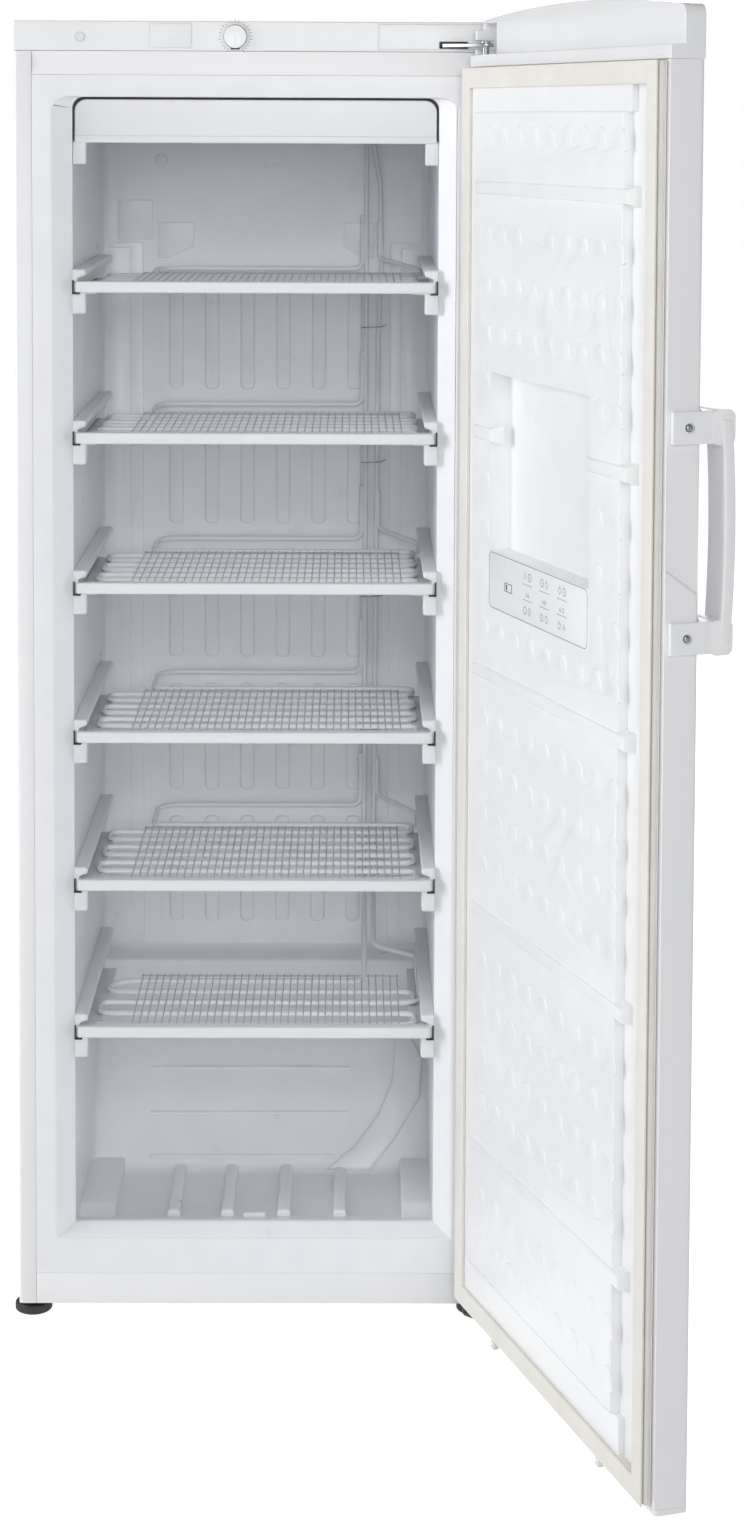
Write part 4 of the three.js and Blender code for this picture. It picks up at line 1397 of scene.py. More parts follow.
    def cover(self) -> Piece:
        """Models the cover under the ceiling: round upper corners and a stepped lower edge.

        Returns:
            The cover.
        """
        half, low, high = 226.0, 1500.0, 1554.0
        face = block("cover", (-half, 16, low), (half, 28, high))
        round_edges(face, 15, 8, lambda e: along(e, 1) and middle(e).z > high - 1)
        rounded(face, 1.8, 4)
        parts = [rounded(block("lip", (-half, 14.2, low), (half, 18, low + 9)), 1.4, 3)]
        for side in SIDES:
            tab = block("tab", (side * 150 - 15, 27, high - 14), (side * 150 + 15, 61, self.top_gap()))
            parts.append(tab)
            x0, x1 = sorted((side * (self.half - self.arm), side * (self.half - self.gap)))
            parts.append(rounded(block("cover_hook", (x0, 16, low - 27), (x1, 40, low + 1)), 1.6, 3))
        return combine(face, parts, "UNION")

    def cover_seal(self) -> Piece:
        """Models a black strip behind the cover's edge, which is painted shade for the dark gap round the
        cover.

        Returns:
            The strip.
        """
        strip = block("cover_seal", (-228.8, 21, 1503), (228.8, 27, 1556.8))
        round_edges(strip, 14, 8, lambda e: along(e, 1) and middle(e).z > 1540)
        inside = block("inside", (-222, 20, 1500), (222, 28, 1550))
        return combine(strip, [inside], "DIFFERENCE")

    def top_gap(self) -> float:
        """Returns the height just under the liner's ceiling."""
        return self.top - self.gap

    def ceiling(self) -> Piece:
        """Models the serpentine under the ceiling.

        Returns:
            The tube.
        """
        z = self.top - self.radius - self.gap
        corners: list[Place] = []
        for run in range(6):
            side = 1 if run % 2 else -1
            y = 96 + run * 58
            corners += [(side * self.reach, y, z), (-side * self.reach, y, z)]
        return pipe("ceiling_tube", bent(corners, 20, 8), self.radius, 3)

    def risers(self) -> None:
        """Adds the two pipes on the back wall; the right one leans in at the top compartment."""
        low = 478.0
        left = [(self.riser_left, self.back, 1502), (self.riser_left, self.back, low)]
        right = [(self.riser_right - 12, self.back, 1502), (self.riser_right - 2, self.back, 1440),
                 (self.riser_right, self.back, 1330), (self.riser_right - 4, self.back, 1230),
                 (self.riser_right - 8, self.back, 466)]
        self.keep(pipe("riser_l", bent(left, 14, 8), 3.2, 4), TUBE_PAINT, "riser_pipe_left", smooth=60)
        self.keep(pipe("riser_r", bent(right, 10, 6), 3.2, 4), TUBE_PAINT, "riser_pipe_right", smooth=60)

    def clips(self) -> None:
        """Adds the wire ties that hold the two pipes together in every compartment."""
        ties = []
        for z in self.shelves[:-1]:
            x0, x1 = self.riser_left, self.riser_right - 6
            loop = [(x0 - 6, self.back, z - 80), (x0, self.back - 4.6, z - 80),
                    (x1, self.back - 4.6, z - 79), (x1 + 7, self.back - 1, z - 79),
                    (x1 + 13, self.back - 3, z - 76)]
            ties.append(pipe("tie", bent(loop, 1.5, 4), 0.8, 2))
        self.keep(welded("riser_ties", ties), ZINC_PLATE, name="riser_ties", smooth=60)


# ---------------------------------------------------------------- door
def tapered(name: str, low: Place, high: Place, inset: float) -> Piece:
    """Makes a box that narrows towards its back.

    Args:
        name: The piece's name.
        low: Its lowest corner.
        high: Its highest corner; the face with this Y is the smaller one.
        inset: How much each side comes in.

    Returns:
        The box.
    """
    piece = block(name, low, high)
    wide, tall = high[0] - low[0], high[2] - low[2]
    with editing(piece):
        choose(piece, Part.VERT, lambda v: v.co.y > high[1] - 0.01)
        bpy.ops.transform.resize(value=(1 - 2 * inset / wide, 1, 1 - 2 * inset / tall))
    return piece


@dataclass
class DoorLeaf(SubAssembly):
    """The door's folded steel pan with its finger scoop, the caps on both ends and the foam."""

    half: float = 300.0
    face: float = -54.0
    back: float = -14.0
    low: float = 35.3
    high: float = 1594.7
    corner: float = 6.0
    lip: float = 9.0
    scoop_top: float = 1192.0
    scoop_fold: float = 1025.3
    scoop_depth: float = 5.0

    def build(self) -> None:
        """Builds the leaf."""
        self.keep(self.shell(), DOOR_PAINT, "door_outer_shell")
        foam = self.from_node("door_foam")
        combine(foam, [self.scoop(1.6)], "DIFFERENCE")
        self.keep(foam, POLYURETHANE, "door_foam")
        self.keep(self.from_node("door_top_cap", 1.1, 4), GLOSS_ABS, "door_top_cap")
        self.keep(self.from_node("door_bottom_cap", 0.8, 3), WHITE_ABS, "door_bottom_cap")

    def scoop(self, extra: float) -> Piece:
        """Models the cutter for the finger scoop in the free side.

        Args:
            extra: How much deeper than the scoop it is.

        Returns:
            The cutter.
        """
        x, y = -self.half, -62.0
        deep = x + self.scoop_depth + extra
        top, fold = self.scoop_top, self.scoop_fold
        outline = [(x - 2, y, top), (x + extra, y, top), (deep, y, fold + 14), (deep - 0.6, y, fold),
                   (x + extra, y, fold - 4), (x - 2, y, fold - 4)]
        return slab("scoop", outline, (0, 61, 44.2))

    def shell(self) -> Piece:
        """Models the pan: one sheet, folded round the front and the sides, with return lips.

        Returns:
            The pan.
        """
        pan = block("pan", (-self.half, self.face, self.low), (self.half, self.back, self.high))
        round_edges(pan, self.corner, 6, lambda e: along(e, 2) and middle(e).y < self.back - 1)
        combine(pan, [self.scoop(0)], "DIFFERENCE")
        with editing(pan):
            choose(pan, Part.FACE,
                   lambda f: f.normal.y > 0.99 and f.calc_center_median().y > self.back - 0.1)
            bpy.ops.mesh.delete(type="FACE")
            choose(pan, Part.FACE, lambda f: abs(f.normal.z) > 0.99 and f.calc_area() > 5000)
            bpy.ops.mesh.delete(type="FACE")
        wall = pan.modifiers.new("Sheet", "SOLIDIFY")
        wall.thickness = 1.0
        wall.offset = -1
        take_up(pan)
        bpy.ops.object.modifier_apply(modifier=wall.name)
        lips = [
            rounded(block(
                "lip", (x, self.back - 1, self.low), (x + self.lip, self.back, self.high)), 0.3, 2)
            for x in (-self.half + 0.5, self.half - 0.5 - self.lip)]
        return welded("shell", [pan, *lips])


@dataclass
class DoorLining(SubAssembly):
    """The vacuum-formed inside of the door: raised field, ribs, pocket, nubs and thumb marks."""

    edge: float = 291.0
    low: float = 37.0
    high: float = 1593.0
    sheet: Pair = (-13.9, -12.4)
    field: Pair = (-209.0, 247.0)
    field_low: float = 104.0
    field_high: float = 1541.0
    panel: float = -0.4
    bevel: float = 1.2
    rib_top: float = 2.4
    margin: float = -5.4
    rib_half: float = 241.0
    rib_levels: Sequence[float] = (1449.0, 859.0, 560.0, 262.0)
    pocket: tuple[float, float, float, float] = (-125.0, 185.0, 1012.0, 1225.0)
    pocket_depth: float = 26.0
    nub: float = 1151.0
    mark_rows: Sequence[float] = (
        1510.0, 1389.6, 1330.2, 1270.8, 1211.4, 1092.0, 1032.0, 973.0, 913.0, 800.0, 740.0, 681.0,
        621.0, 500.0, 441.0, 382.0, 322.0, 202.0, 143.0)

    def build(self) -> None:
        """Builds the lining."""
        lining = block(
            "lining", (-self.edge, self.sheet[0], self.low), (self.edge, self.sheet[1], self.high))
        rounded(lining, 1.0, 2)
        raised = tapered(
            "field", (self.field[0], self.sheet[1] - 1, self.field_low),
            (self.field[1], self.panel, self.field_high), self.bevel)
        rounded(raised, 1.3, 4, 20)
        x0, x1, z0, z1 = self.pocket
        deep = self.panel - self.pocket_depth
        well = block("well", (x0 - 3, deep - 3, z0 - 3), (x1 + 3, self.sheet[1] - 0.5, z1 + 3))
        ribs = [self.rib(-self.rib_half + 8, self.rib_half, z) for z in self.rib_levels]
        ribs += [self.rib(-self.rib_half + 8, x0 + 12, self.nub),
                 self.rib(x1 - 12, self.rib_half, self.nub)]
        combine(lining, [raised, well, *self.margins()], "UNION")
        low = self.field_low + 1.6
        crease = block(
            "crease", (self.field[0] + 2, self.panel - 1.6, low), (self.field[1] - 2, 2, low + 1.3))
        combine(lining, [crease], "DIFFERENCE")
        recess = tapered("recess", (x0 + 2, deep, z0), (x1 - 2, 2, z1), -2)
        round_edges(recess, 2, 4, lambda e: not along(e, 0) and not along(e, 2))
        round_edges(recess, 1.2, 3, lambda e: middle(e).y < deep + 0.1)
        combine(lining, [recess], "DIFFERENCE")
        combine(lining, ribs, "UNION")
        combine(lining, [self.thumb_marks()], "UNION")
        self.keep(lining, DOOR_SHEET, "door_inner_liner", smooth=40)

    def margins(self) -> list[Piece]:
        """Models the raised margins between the field and the seal, on three sides of the field.

        Returns:
            The three strips.
        """
        x0, x1 = self.field
        inner, low, high = 270.0, self.low + 24, self.high - 22
        strips = ((x0 - 12, low, inner, self.field_low + 1), (x0 - 12, self.field_high - 1, inner, high),
                  (x1 - 1, low, inner, high))
        return [block("margin", (a, self.sheet[0] + 0.3, b), (c, self.margin, d)) for a, b, c, d in strips]

    def rib(self, x0: float, x1: float, z: float) -> Piece:
        """Models a raised rib with soft edges.

        Args:
            x0: Its end on the free side.
            x1: Its end on the hinge side.
            z: Its middle's height.

        Returns:
            The rib.
        """
        piece = tapered("rib", (x0, self.sheet[1] - 1, z - 12), (x1, self.rib_top, z + 12), 4.5)
        round_edges(piece, 2.4, 5, lambda e: middle(e).y > self.rib_top - 0.1)
        return piece

    def is_clear(self, column: int, row: float) -> bool:
        """Says whether a thumb mark has room: not on the pocket or the label.

        Args:
            column: The mark's column.
            row: The mark's height.

        Returns:
            True where it has room.
        """
        x = -200 + 50 * column
        on_pocket = -139 < x < 199 and 929 < row < 1238
        return not on_pocket and not (column == 5 and row == 1389.6)

    def thumb_marks(self) -> Piece:
        """Models the thumb marks: round-topped fields that sink into the panel at their lower end.

        Returns:
            All marks in one object.
        """
        outline = [(12.5 * math.cos(a), 15.5 + 12.5 * math.sin(a))
                   for a in (math.pi * i / 12 for i in range(13))]
        outline += [(-12.5, 2), (-9, 0), (9, 0), (12.5, 2)]
        mark = embossed(outline, 0, 1.9, 1.0, facing=1)
        mark.data.transform(
            Matrix.Rotation(math.radians(-3.4), 4, "X") @ Matrix.Translation((0, -2.1, 0)))
        marks = [
            copied(mark, (-200 + 50 * column, self.panel, row - 14))
            for row in self.mark_rows for column in range(9) if self.is_clear(column, row)]
        bpy.data.objects.remove(mark)
        return welded("thumb_marks", marks)


@dataclass
class DoorSeal(SubAssembly):
    """The door's bellows seal: a magnet tube on a folded neck, in a frame round the lining."""

    outer: float = 293.0
    low: float = 38.0
    high: float = 1594.0

    def build(self) -> None:
        """Builds the seal from its foot, two folds and the magnet tube."""
        layers = (
            (4.0, 20.8, -12.7, -10.0, 0.3), (0.5, 24.2, -10.2, -4.9, 1.6), (12.0, 12.6, -5.2, -3.0, 0.3),
            (0.0, 25.0, -3.2, -0.3, 1.3))
        frames = [self.frame(*layer) for layer in layers]
        self.keep(welded("seal", frames), VINYL, "door_gasket", smooth=50)

    def frame(self, inset: float, width: float, y0: float, y1: float, soft: float) -> Piece:
        """Makes one layer of the seal.

        Args:
            inset: How far its outside lies inside the seal's outline.
            width: How wide its strip is.
            y0: Its front.
            y1: Its back.
            soft: How wide its edges are rounded.

        Returns:
            The layer, a flat frame.
        """
        x, z0, z1 = self.outer - inset, self.low + inset, self.high - inset
        layer = block("layer", (-x, y0, z0), (x, y1, z1))
        hole = block("hole", (-x + width, y0 - 1, z0 + width), (x - width, y1 + 1, z1 - width))
        return rounded(combine(layer, [hole], "DIFFERENCE"), soft, 4)


@dataclass
class DoorFittings(SubAssembly):
    """The handle with its screws, and the label plate under the pocket."""

    half: float = 300.0
    arm_levels: Pair = (967.0, 1191.0)
    screw_levels: Pair = (984.5, 1208.5)
    label: tuple[float, float, float, float] = (-125.0, 185.0, 941.7, 1011.7)
    columns: Sequence[float] = (58.0, 5.0, -49.0)
    ranges: Sequence[str] = ("3-6", "4-8", "6-12")
    ink: Pair = (0.15, 0.26)

    def build(self) -> None:
        """Builds the fittings."""
        self.keep(self.handle(), WHITE_ABS, "door_handle")
        for node, z in zip(("handle_screw_lower", "handle_screw_upper"), self.screw_levels):
            head = Screw(4.3, 2.4, 1.2).made(node, (-self.half - 3.7, -38, z), (-1, 0, 0))
            shank = rod("shank", (-self.half - 4.2, -38, z), (-self.half - 0.7, -38, z), 2.2, 20)
            self.keep(welded(node, [head, shank]), ZINC_PLATE, node)
        clips = [self.clip(168, 22), self.clip(-163, 24)]
        self.keep(welded("bottom_clips", clips), WHITE_ABS, name="bottom_clips")
        self.label_plate()

    def clip(self, x: float, z: float) -> Piece:
        """Models one of the small eyes under the door's inner edge.

        Args:
            x: Its place across.
            z: Its height above the floor.

        Returns:
            The eye.
        """
        eye = rounded(block("clip", (x - 4.5, -12.4, z), (x + 4.5, -4, z + 11)), 1.4, 4)
        combine(eye, [block("tab", (x - 4, -13.6, z + 5), (x + 4, -8, 37.6))], "UNION")
        return combine(eye, [rod("eye", (x, -20, z + 4.5), (x, 5, z + 4.5), 1.8, 20)], "DIFFERENCE")

    def handle(self) -> Piece:
        """Models the grip: a bowed bar on two arms that wrap round the door's free edge.

        Returns:
            The grip.
        """
        side, outer = -self.half - 0.3, -self.half - 6.3
        plan = [(outer, -18), (side, -18), (side, -54.3), (-276, -62), (-266, -70), (-264, -83),
                (-268, -86.5), (outer, -86.5)]
        arms = []
        for z in self.arm_levels:
            arm = slab("arm", [(x, y, z) for x, y in plan], (0, 0, 35))
            arms.append(rounded(arm, 1.6, 4, 25))
            end = rounded_outline(-89.5, -63, z - 1.5, z + 36.5, 8)
            shoe = slab("shoe", [(outer - 0.2, y, h) for y, h in end], (45, 0, 0))
            with editing(shoe):
                choose(shoe, Part.VERT, lambda v: v.co.x < outer and v.co.y < -70)
                bpy.ops.transform.translate(value=(-2.4, 0, 0))
            arms.append(rounded(shoe, 1.2, 3, 40))
        steps = 14
        heights = [977.0 + 240 * i / steps for i in range(steps + 1)]
        swell = [4.5 * (1 - ((z - 1097) / 120) ** 2) for z in heights]
        side_view = [(-73.5 - b, z) for b, z in zip(swell, heights)]
        side_view += [(-86 - b * 1.1, z) for b, z in reversed(list(zip(swell, heights)))]
        bar = slab("bar", [(-310, y, z) for y, z in side_view], (44, 0, 0))
        rounded(bar, 2.6, 5, 40)
        grip = combine(bar, arms, "UNION")
        bores = []
        for z in self.screw_levels:
            bores.append(rod("bore", (outer - 1, -38, z), (outer + 3, -38, z), 5.6, 32))
            bores.append(rod("shank_hole", (outer + 1, -38, z), (side + 1, -38, z), 2.5, 20))
        return combine(grip, bores, "DIFFERENCE")

    def label_plate(self) -> None:
        """Adds the plate and its printed signs."""
        x0, x1, z0, z1 = self.label
        arc = [(x1 - 9 + 9 * math.cos(a), z0 + 9 + 9 * math.sin(a))
               for a in (math.radians(d) for d in range(0, -91, -15))]
        outline = [(x0, z1), (x1, z1), *arc, (x0, z0)]
        plate = slab("plate", [(x, -1.2, z) for x, z in outline], (0, 1.4, 0))
        self.keep(rounded(plate, 0.35, 2), LABEL_FILM, "label_plate")
        marks = [self.bar(x - 15, x + 15, z) for x in self.columns for z in (z1 - 24.3, z1 - 42.6)]
        for x, text in zip(self.columns, self.ranges):
            marks.append(self.text(text, x, z1 - 36.5, 8))
        marks += self.signs(z1 - 14.5, 0) + self.signs(z1 - 55, 3)
        self.keep(welded("signs", marks), LABEL_INK, name="label_signs")
        frame = combine(self.field(120, 974.5, 12, 5.3), [self.field(120, 974.5, 10.4, 4.3)], "DIFFERENCE")
        mark = self.field(125.5, 974.5, 2.2, 3.2)
        self.keep(welded("dark", [frame, mark]), LABEL_DARK_INK, name="label_dark_sign")
        self.keep(self.outline(), LABEL_INK, name="label_outline")

    def outline(self) -> Piece:
        """Models the thin printed line round the label plate's edge.

        Returns:
            The line.
        """
        x0, x1, z0, z1 = self.label
        frames = []
        for gap, radius, y, depth in ((1, 8, 0.15, 0.11), (1.9, 7, 0.0, 0.4)):
            loop = rounded_outline(x0 + gap, x1 - gap, z0 + gap, z1 - gap, radius)
            frames.append(slab("outline", [(x, y, z) for x, z in loop], (0, depth, 0)))
        return combine(frames[0], frames[1:], "DIFFERENCE")

    def field(self, x: float, z: float, wide: float, tall: float) -> Piece:
        """Returns a printed rectangle about a point, half `wide` and half `tall`."""
        return block("field", (x - wide, self.ink[0], z - tall), (x + wide, self.ink[1], z + tall))

    def bar(self, x0: float, x1: float, z: float) -> Piece:
        """Returns a thin printed line."""
        return block("bar", (x0, self.ink[0], z - 0.35), (x1, self.ink[1], z + 0.35))

    def text(self, words: str, x: float, z: float, size: float) -> Piece:
        """Prints a few characters, readable from inside the cabinet.

        Args:
            words: The characters.
            x: The middle of the text.
            z: The middle of its height.
            size: The height of a line.

        Returns:
            The text as a mesh.
        """
        bpy.ops.object.select_all(action="DESELECT")
        bpy.ops.object.text_add()
        piece = bpy.context.object
        piece.data.body = words
        piece.data.size = size
        piece.data.align_x = "CENTER"
        piece.data.align_y = "CENTER"
        piece.data.extrude = 0.05
        bpy.ops.object.convert(target="MESH")
        piece = bpy.context.object
        turn = Matrix.Rotation(math.pi, 4, "Z") @ Matrix.Rotation(math.pi / 2, 4, "X")
        piece.data.transform(Matrix.Translation((x, 0.22, z)) @ turn)
        return piece

    def signs(self, z: float, first: int) -> list[Piece]:
        """Returns three plain food signs in a row.

        Args:
            z: The row's middle.
            first: Which of the six signs comes first.

        Returns:
            The signs as thin raised outlines.
        """
        pieces = []
        for column, x in enumerate(self.columns):
            for i in range(2):
                sides = (3, 24, 4, 24, 6, 5)[(first + column + i) % 6]
                way = x + 7 - 14 * i
                ring = rod("ring", (way, 0.14, z), (way, 0.26, z), 5.0, sides)
                hole = rod("hole", (way, 0.0, z), (way, 0.4, z), 3.9, sides)
                pieces.append(combine(ring, [hole], "DIFFERENCE"))
                if (column + i) % 2:
                    pieces.append(self.bar(way - 2.2, way + 2.2, z))
        return pieces


# ---------------------------------------------------------------- control strip
@dataclass
class ControlStrip(SubAssembly):
    """The moulded strip over the mouth, with its lamp, blank plate, thermostat and hinge cover."""

    half: float = 300.0
    low: float = 1614.0
    high: float = 1651.0
    depth: float = 40.0
    wall: float = 2.5
    front: float = 4.0
    dial: Pair = (-25.0, 1632.0)
    dial_radius: float = 14.3
    ring: float = 17.5
    lamp: Pair = (-218.0, 1631.0)
    lamp_radius: float = 6.0
    blank: tuple[float, float, float, float] = (-131.0, -79.0, 1618.0, 1648.0)
    cover: tuple[float, float, float, float] = (153.0, 297.0, 1617.0, 1648.0)
    slot: tuple[float, float, float, float] = (228.0, 264.0, 1618.0, 1627.0)
    gap: float = 0.3

    def build(self) -> None:
        """Builds the strip."""
        self.keep(self.fascia(), WHITE_ABS, "control_fascia")
        self.keep(self.hinge_cover(), WHITE_ABS, "hinge_cover")
        self.keep(self.blank_plate(), WHITE_ABS, "blank_plate")
        self.keep(self.pilot_lamp(), GREY_STYRENE, "pilot_lamp")
        self.keep(self.from_node("dial_bezel", 0.3), GREY_STYRENE, "dial_bezel")
        self.keep(self.knob(), GLOSS_ABS, "thermostat_dial", body=Body.DIAL)
        self.keep(self.thermostat(), BLACK_NYLON, "thermostat_body")
        self.ticks()

    def fascia(self) -> Piece:
        """Models the strip's hollow moulding with all its openings.

        Returns:
            The moulding.
        """
        g = self.gap
        strip = block("fascia", (-self.half, 0, self.low), (self.half, self.depth, self.high))
        round_edges(strip, 1.6, 4, lambda e: middle(e).y < 1 or along(e, 1) and middle(e).z > self.high - 1)
        x0, x1, z0, z1 = self.cover
        b0, b1, c0, c1 = self.blank
        s0, s1, _, s3 = self.slot
        dial = self.dial
        tools = [
            block("hollow", (-self.half + self.wall, self.front, self.low + self.wall),
                  (self.half - self.wall, self.depth + 1, self.high - self.wall)),
            rod("dial_hole", (dial[0], -1, dial[1]), (dial[0], 5, dial[1]), self.ring + g, 48),
            rod("lamp_hole", (self.lamp[0], -1, self.lamp[1]), (self.lamp[0], 5, self.lamp[1]),
                self.lamp_radius + g, 32),
            round_edges(block("blank_seat", (b0 - g, -1, c0 - g), (b1 + g, 1.5, c1 + g)), 3, 4,
                        lambda e: along(e, 1)),
            block("cover_seat", (x0 - g, -1, z0 - g), (x1 + g, 2.3, z1 + g)),
            block("slot", (s0 - 4, -1, z0 + 1), (s1 + 4, 5, s3 + 3))]
        return combine(strip, tools, "DIFFERENCE")

    def hinge_cover(self) -> Piece:
        """Models the small cover in front of the hinge arm.

        Returns:
            The cover.
        """
        x0, x1, z0, z1 = self.cover
        s0, s1, s2, s3 = self.slot
        plate = rounded(block("hinge_cover", (x0, 0, z0), (x1, 2, z1)), 0.5, 3)
        tools = [
            rounded(block("slot", (s0, -1, s2), (s1, 4, s3)), 0.8, 3),
            rod("pry_hole", (x0 + 1.2, -1, (z0 + z1) / 2), (x0 + 1.2, 1.2, (z0 + z1) / 2), 1.3, 16)]
        return combine(plate, tools, "DIFFERENCE")

    def blank_plate(self) -> Piece:
        """Models the plate that fills the opening of a dearer model's display.

        Returns:
            The plate.
        """
        x0, x1, z0, z1 = self.blank
        plate = block("blank_plate", (x0, -0.3, z0), (x1, 1.2, z1))
        round_edges(plate, 3, 6, lambda e: along(e, 1))
        return rounded(plate, 0.35, 3)

    def pilot_lamp(self) -> Piece:
        """Models the lamp's lens: a shallow dome with a rim.

        Returns:
            The lens.
        """
        r = self.lamp_radius
        profile = [(0, -6), (r, -6), (r, 0.3), (r - 0.4, 0.8), (r - 1.1, 0.8), (r - 1.4, 0.3),
                   (r * 0.5, 0.6), (0, 0.7)]
        return turned("lens", profile, (self.lamp[0], 0, self.lamp[1]), (0, -1, 0), 40)

    def knob(self) -> Piece:
        """Models the dial: a flat knob with a coin slot, on its shaft.

        Returns:
            The dial.
        """
        x, z = self.dial
        r = self.dial_radius
        profile = [(0, -14), (4, -14), (4, -3.7), (r, -3.7), (r, 3.6), (r - 0.5, 4.6), (r - 1.6, 5.0),
                   (r - 3.0, 4.7), (0, 4.6)]
        knob = turned("knob", profile, (x, 0, z), (0, -1, 0), 56)
        slit = block("coin_slot", (x - 1.5, -6, z - 11), (x + 1.5, -3.0, z + 11))
        round_edges(slit, 1.4, 4, lambda e: along(e, 1))
        return combine(knob, [slit], "DIFFERENCE")

    def ticks(self) -> None:
        """Adds the scale's fine ticks round the dial, open at the bottom."""
        marks = []
        for step in range(25):
            angle = math.radians(-60 + 300 * step / 24)
            way = Vector((math.cos(angle), 0, math.sin(angle)))
            centre = Vector((self.dial[0], 0, self.dial[1]))
            start, end = centre + way * 18.6, centre + way * (20.4 if step % 4 else 21.4)
            marks.append(rod("tick", tuple(start), tuple(end), 0.35, 6))
        self.keep(welded("dial_ticks", marks), LABEL_INK, name="dial_ticks")

    def thermostat(self) -> Piece:
        """Models the thermostat's housing with its three blades.

        Returns:
            The thermostat.
        """
        x, z = self.dial
        housing = block("housing", (x - 21, self.front + 0.3, self.low + 2.8), (x + 21, 34, self.high - 4))
        rounded(housing, 1.5, 3)
        combine(housing, [rod("bore", (x, 0, z), (x, 15, z), 4.5, 24)], "DIFFERENCE")
        blades = [block("blade", (x + dx - 3.2, 33, z - 0.4), (x + dx + 3.2, 38.5, z + 0.4))
                  for dx in (-13, 0, 13)]
        return combine(housing, blades, "UNION")


# ---------------------------------------------------------------- hinges
@dataclass
class Hinges(SubAssembly):
    """The two brackets and the two pins."""

    x: float = 284.5
    y: float = -28.5

    def build(self) -> None:
        """Builds both hinges."""
        self.keep(self.from_node("upper_hinge_bracket", 0.45, 3), ZINC_PLATE, "upper_hinge_bracket")
        bracket = self.from_node("lower_hinge_bracket")
        combine(bracket, [block("trim", (230, -60, 5), (268, 60, 40))], "DIFFERENCE")
        combine(bracket, [block("bridge", (267, -24, 13.9), (288, 50, 17.6))], "UNION")
        self.keep(rounded(bracket, 0.45, 3), BLACK_PAINT, "lower_hinge_bracket")
        upper = [(0, 1599), (3.4, 1599), (4, 1599.8), (4, 1624.3), (6.2, 1624.3), (6.5, 1624.7),
                 (6.5, 1626.4), (5.9, 1627), (0, 1627)]
        lower = [(0, 13.7), (3.4, 13.7), (4, 14.3), (4, 18), (6.6, 18), (7, 18.4), (7, 27.2),
                 (6.6, 27.7), (4, 27.7), (4, 34), (3.3, 34.7), (0, 34.7)]
        for name, profile in (("upper_hinge_pin", upper), ("lower_hinge_pin", lower)):
            self.keep(turned(name, profile, (self.x, self.y, 0), steps=36), ZINC_PLATE, name)


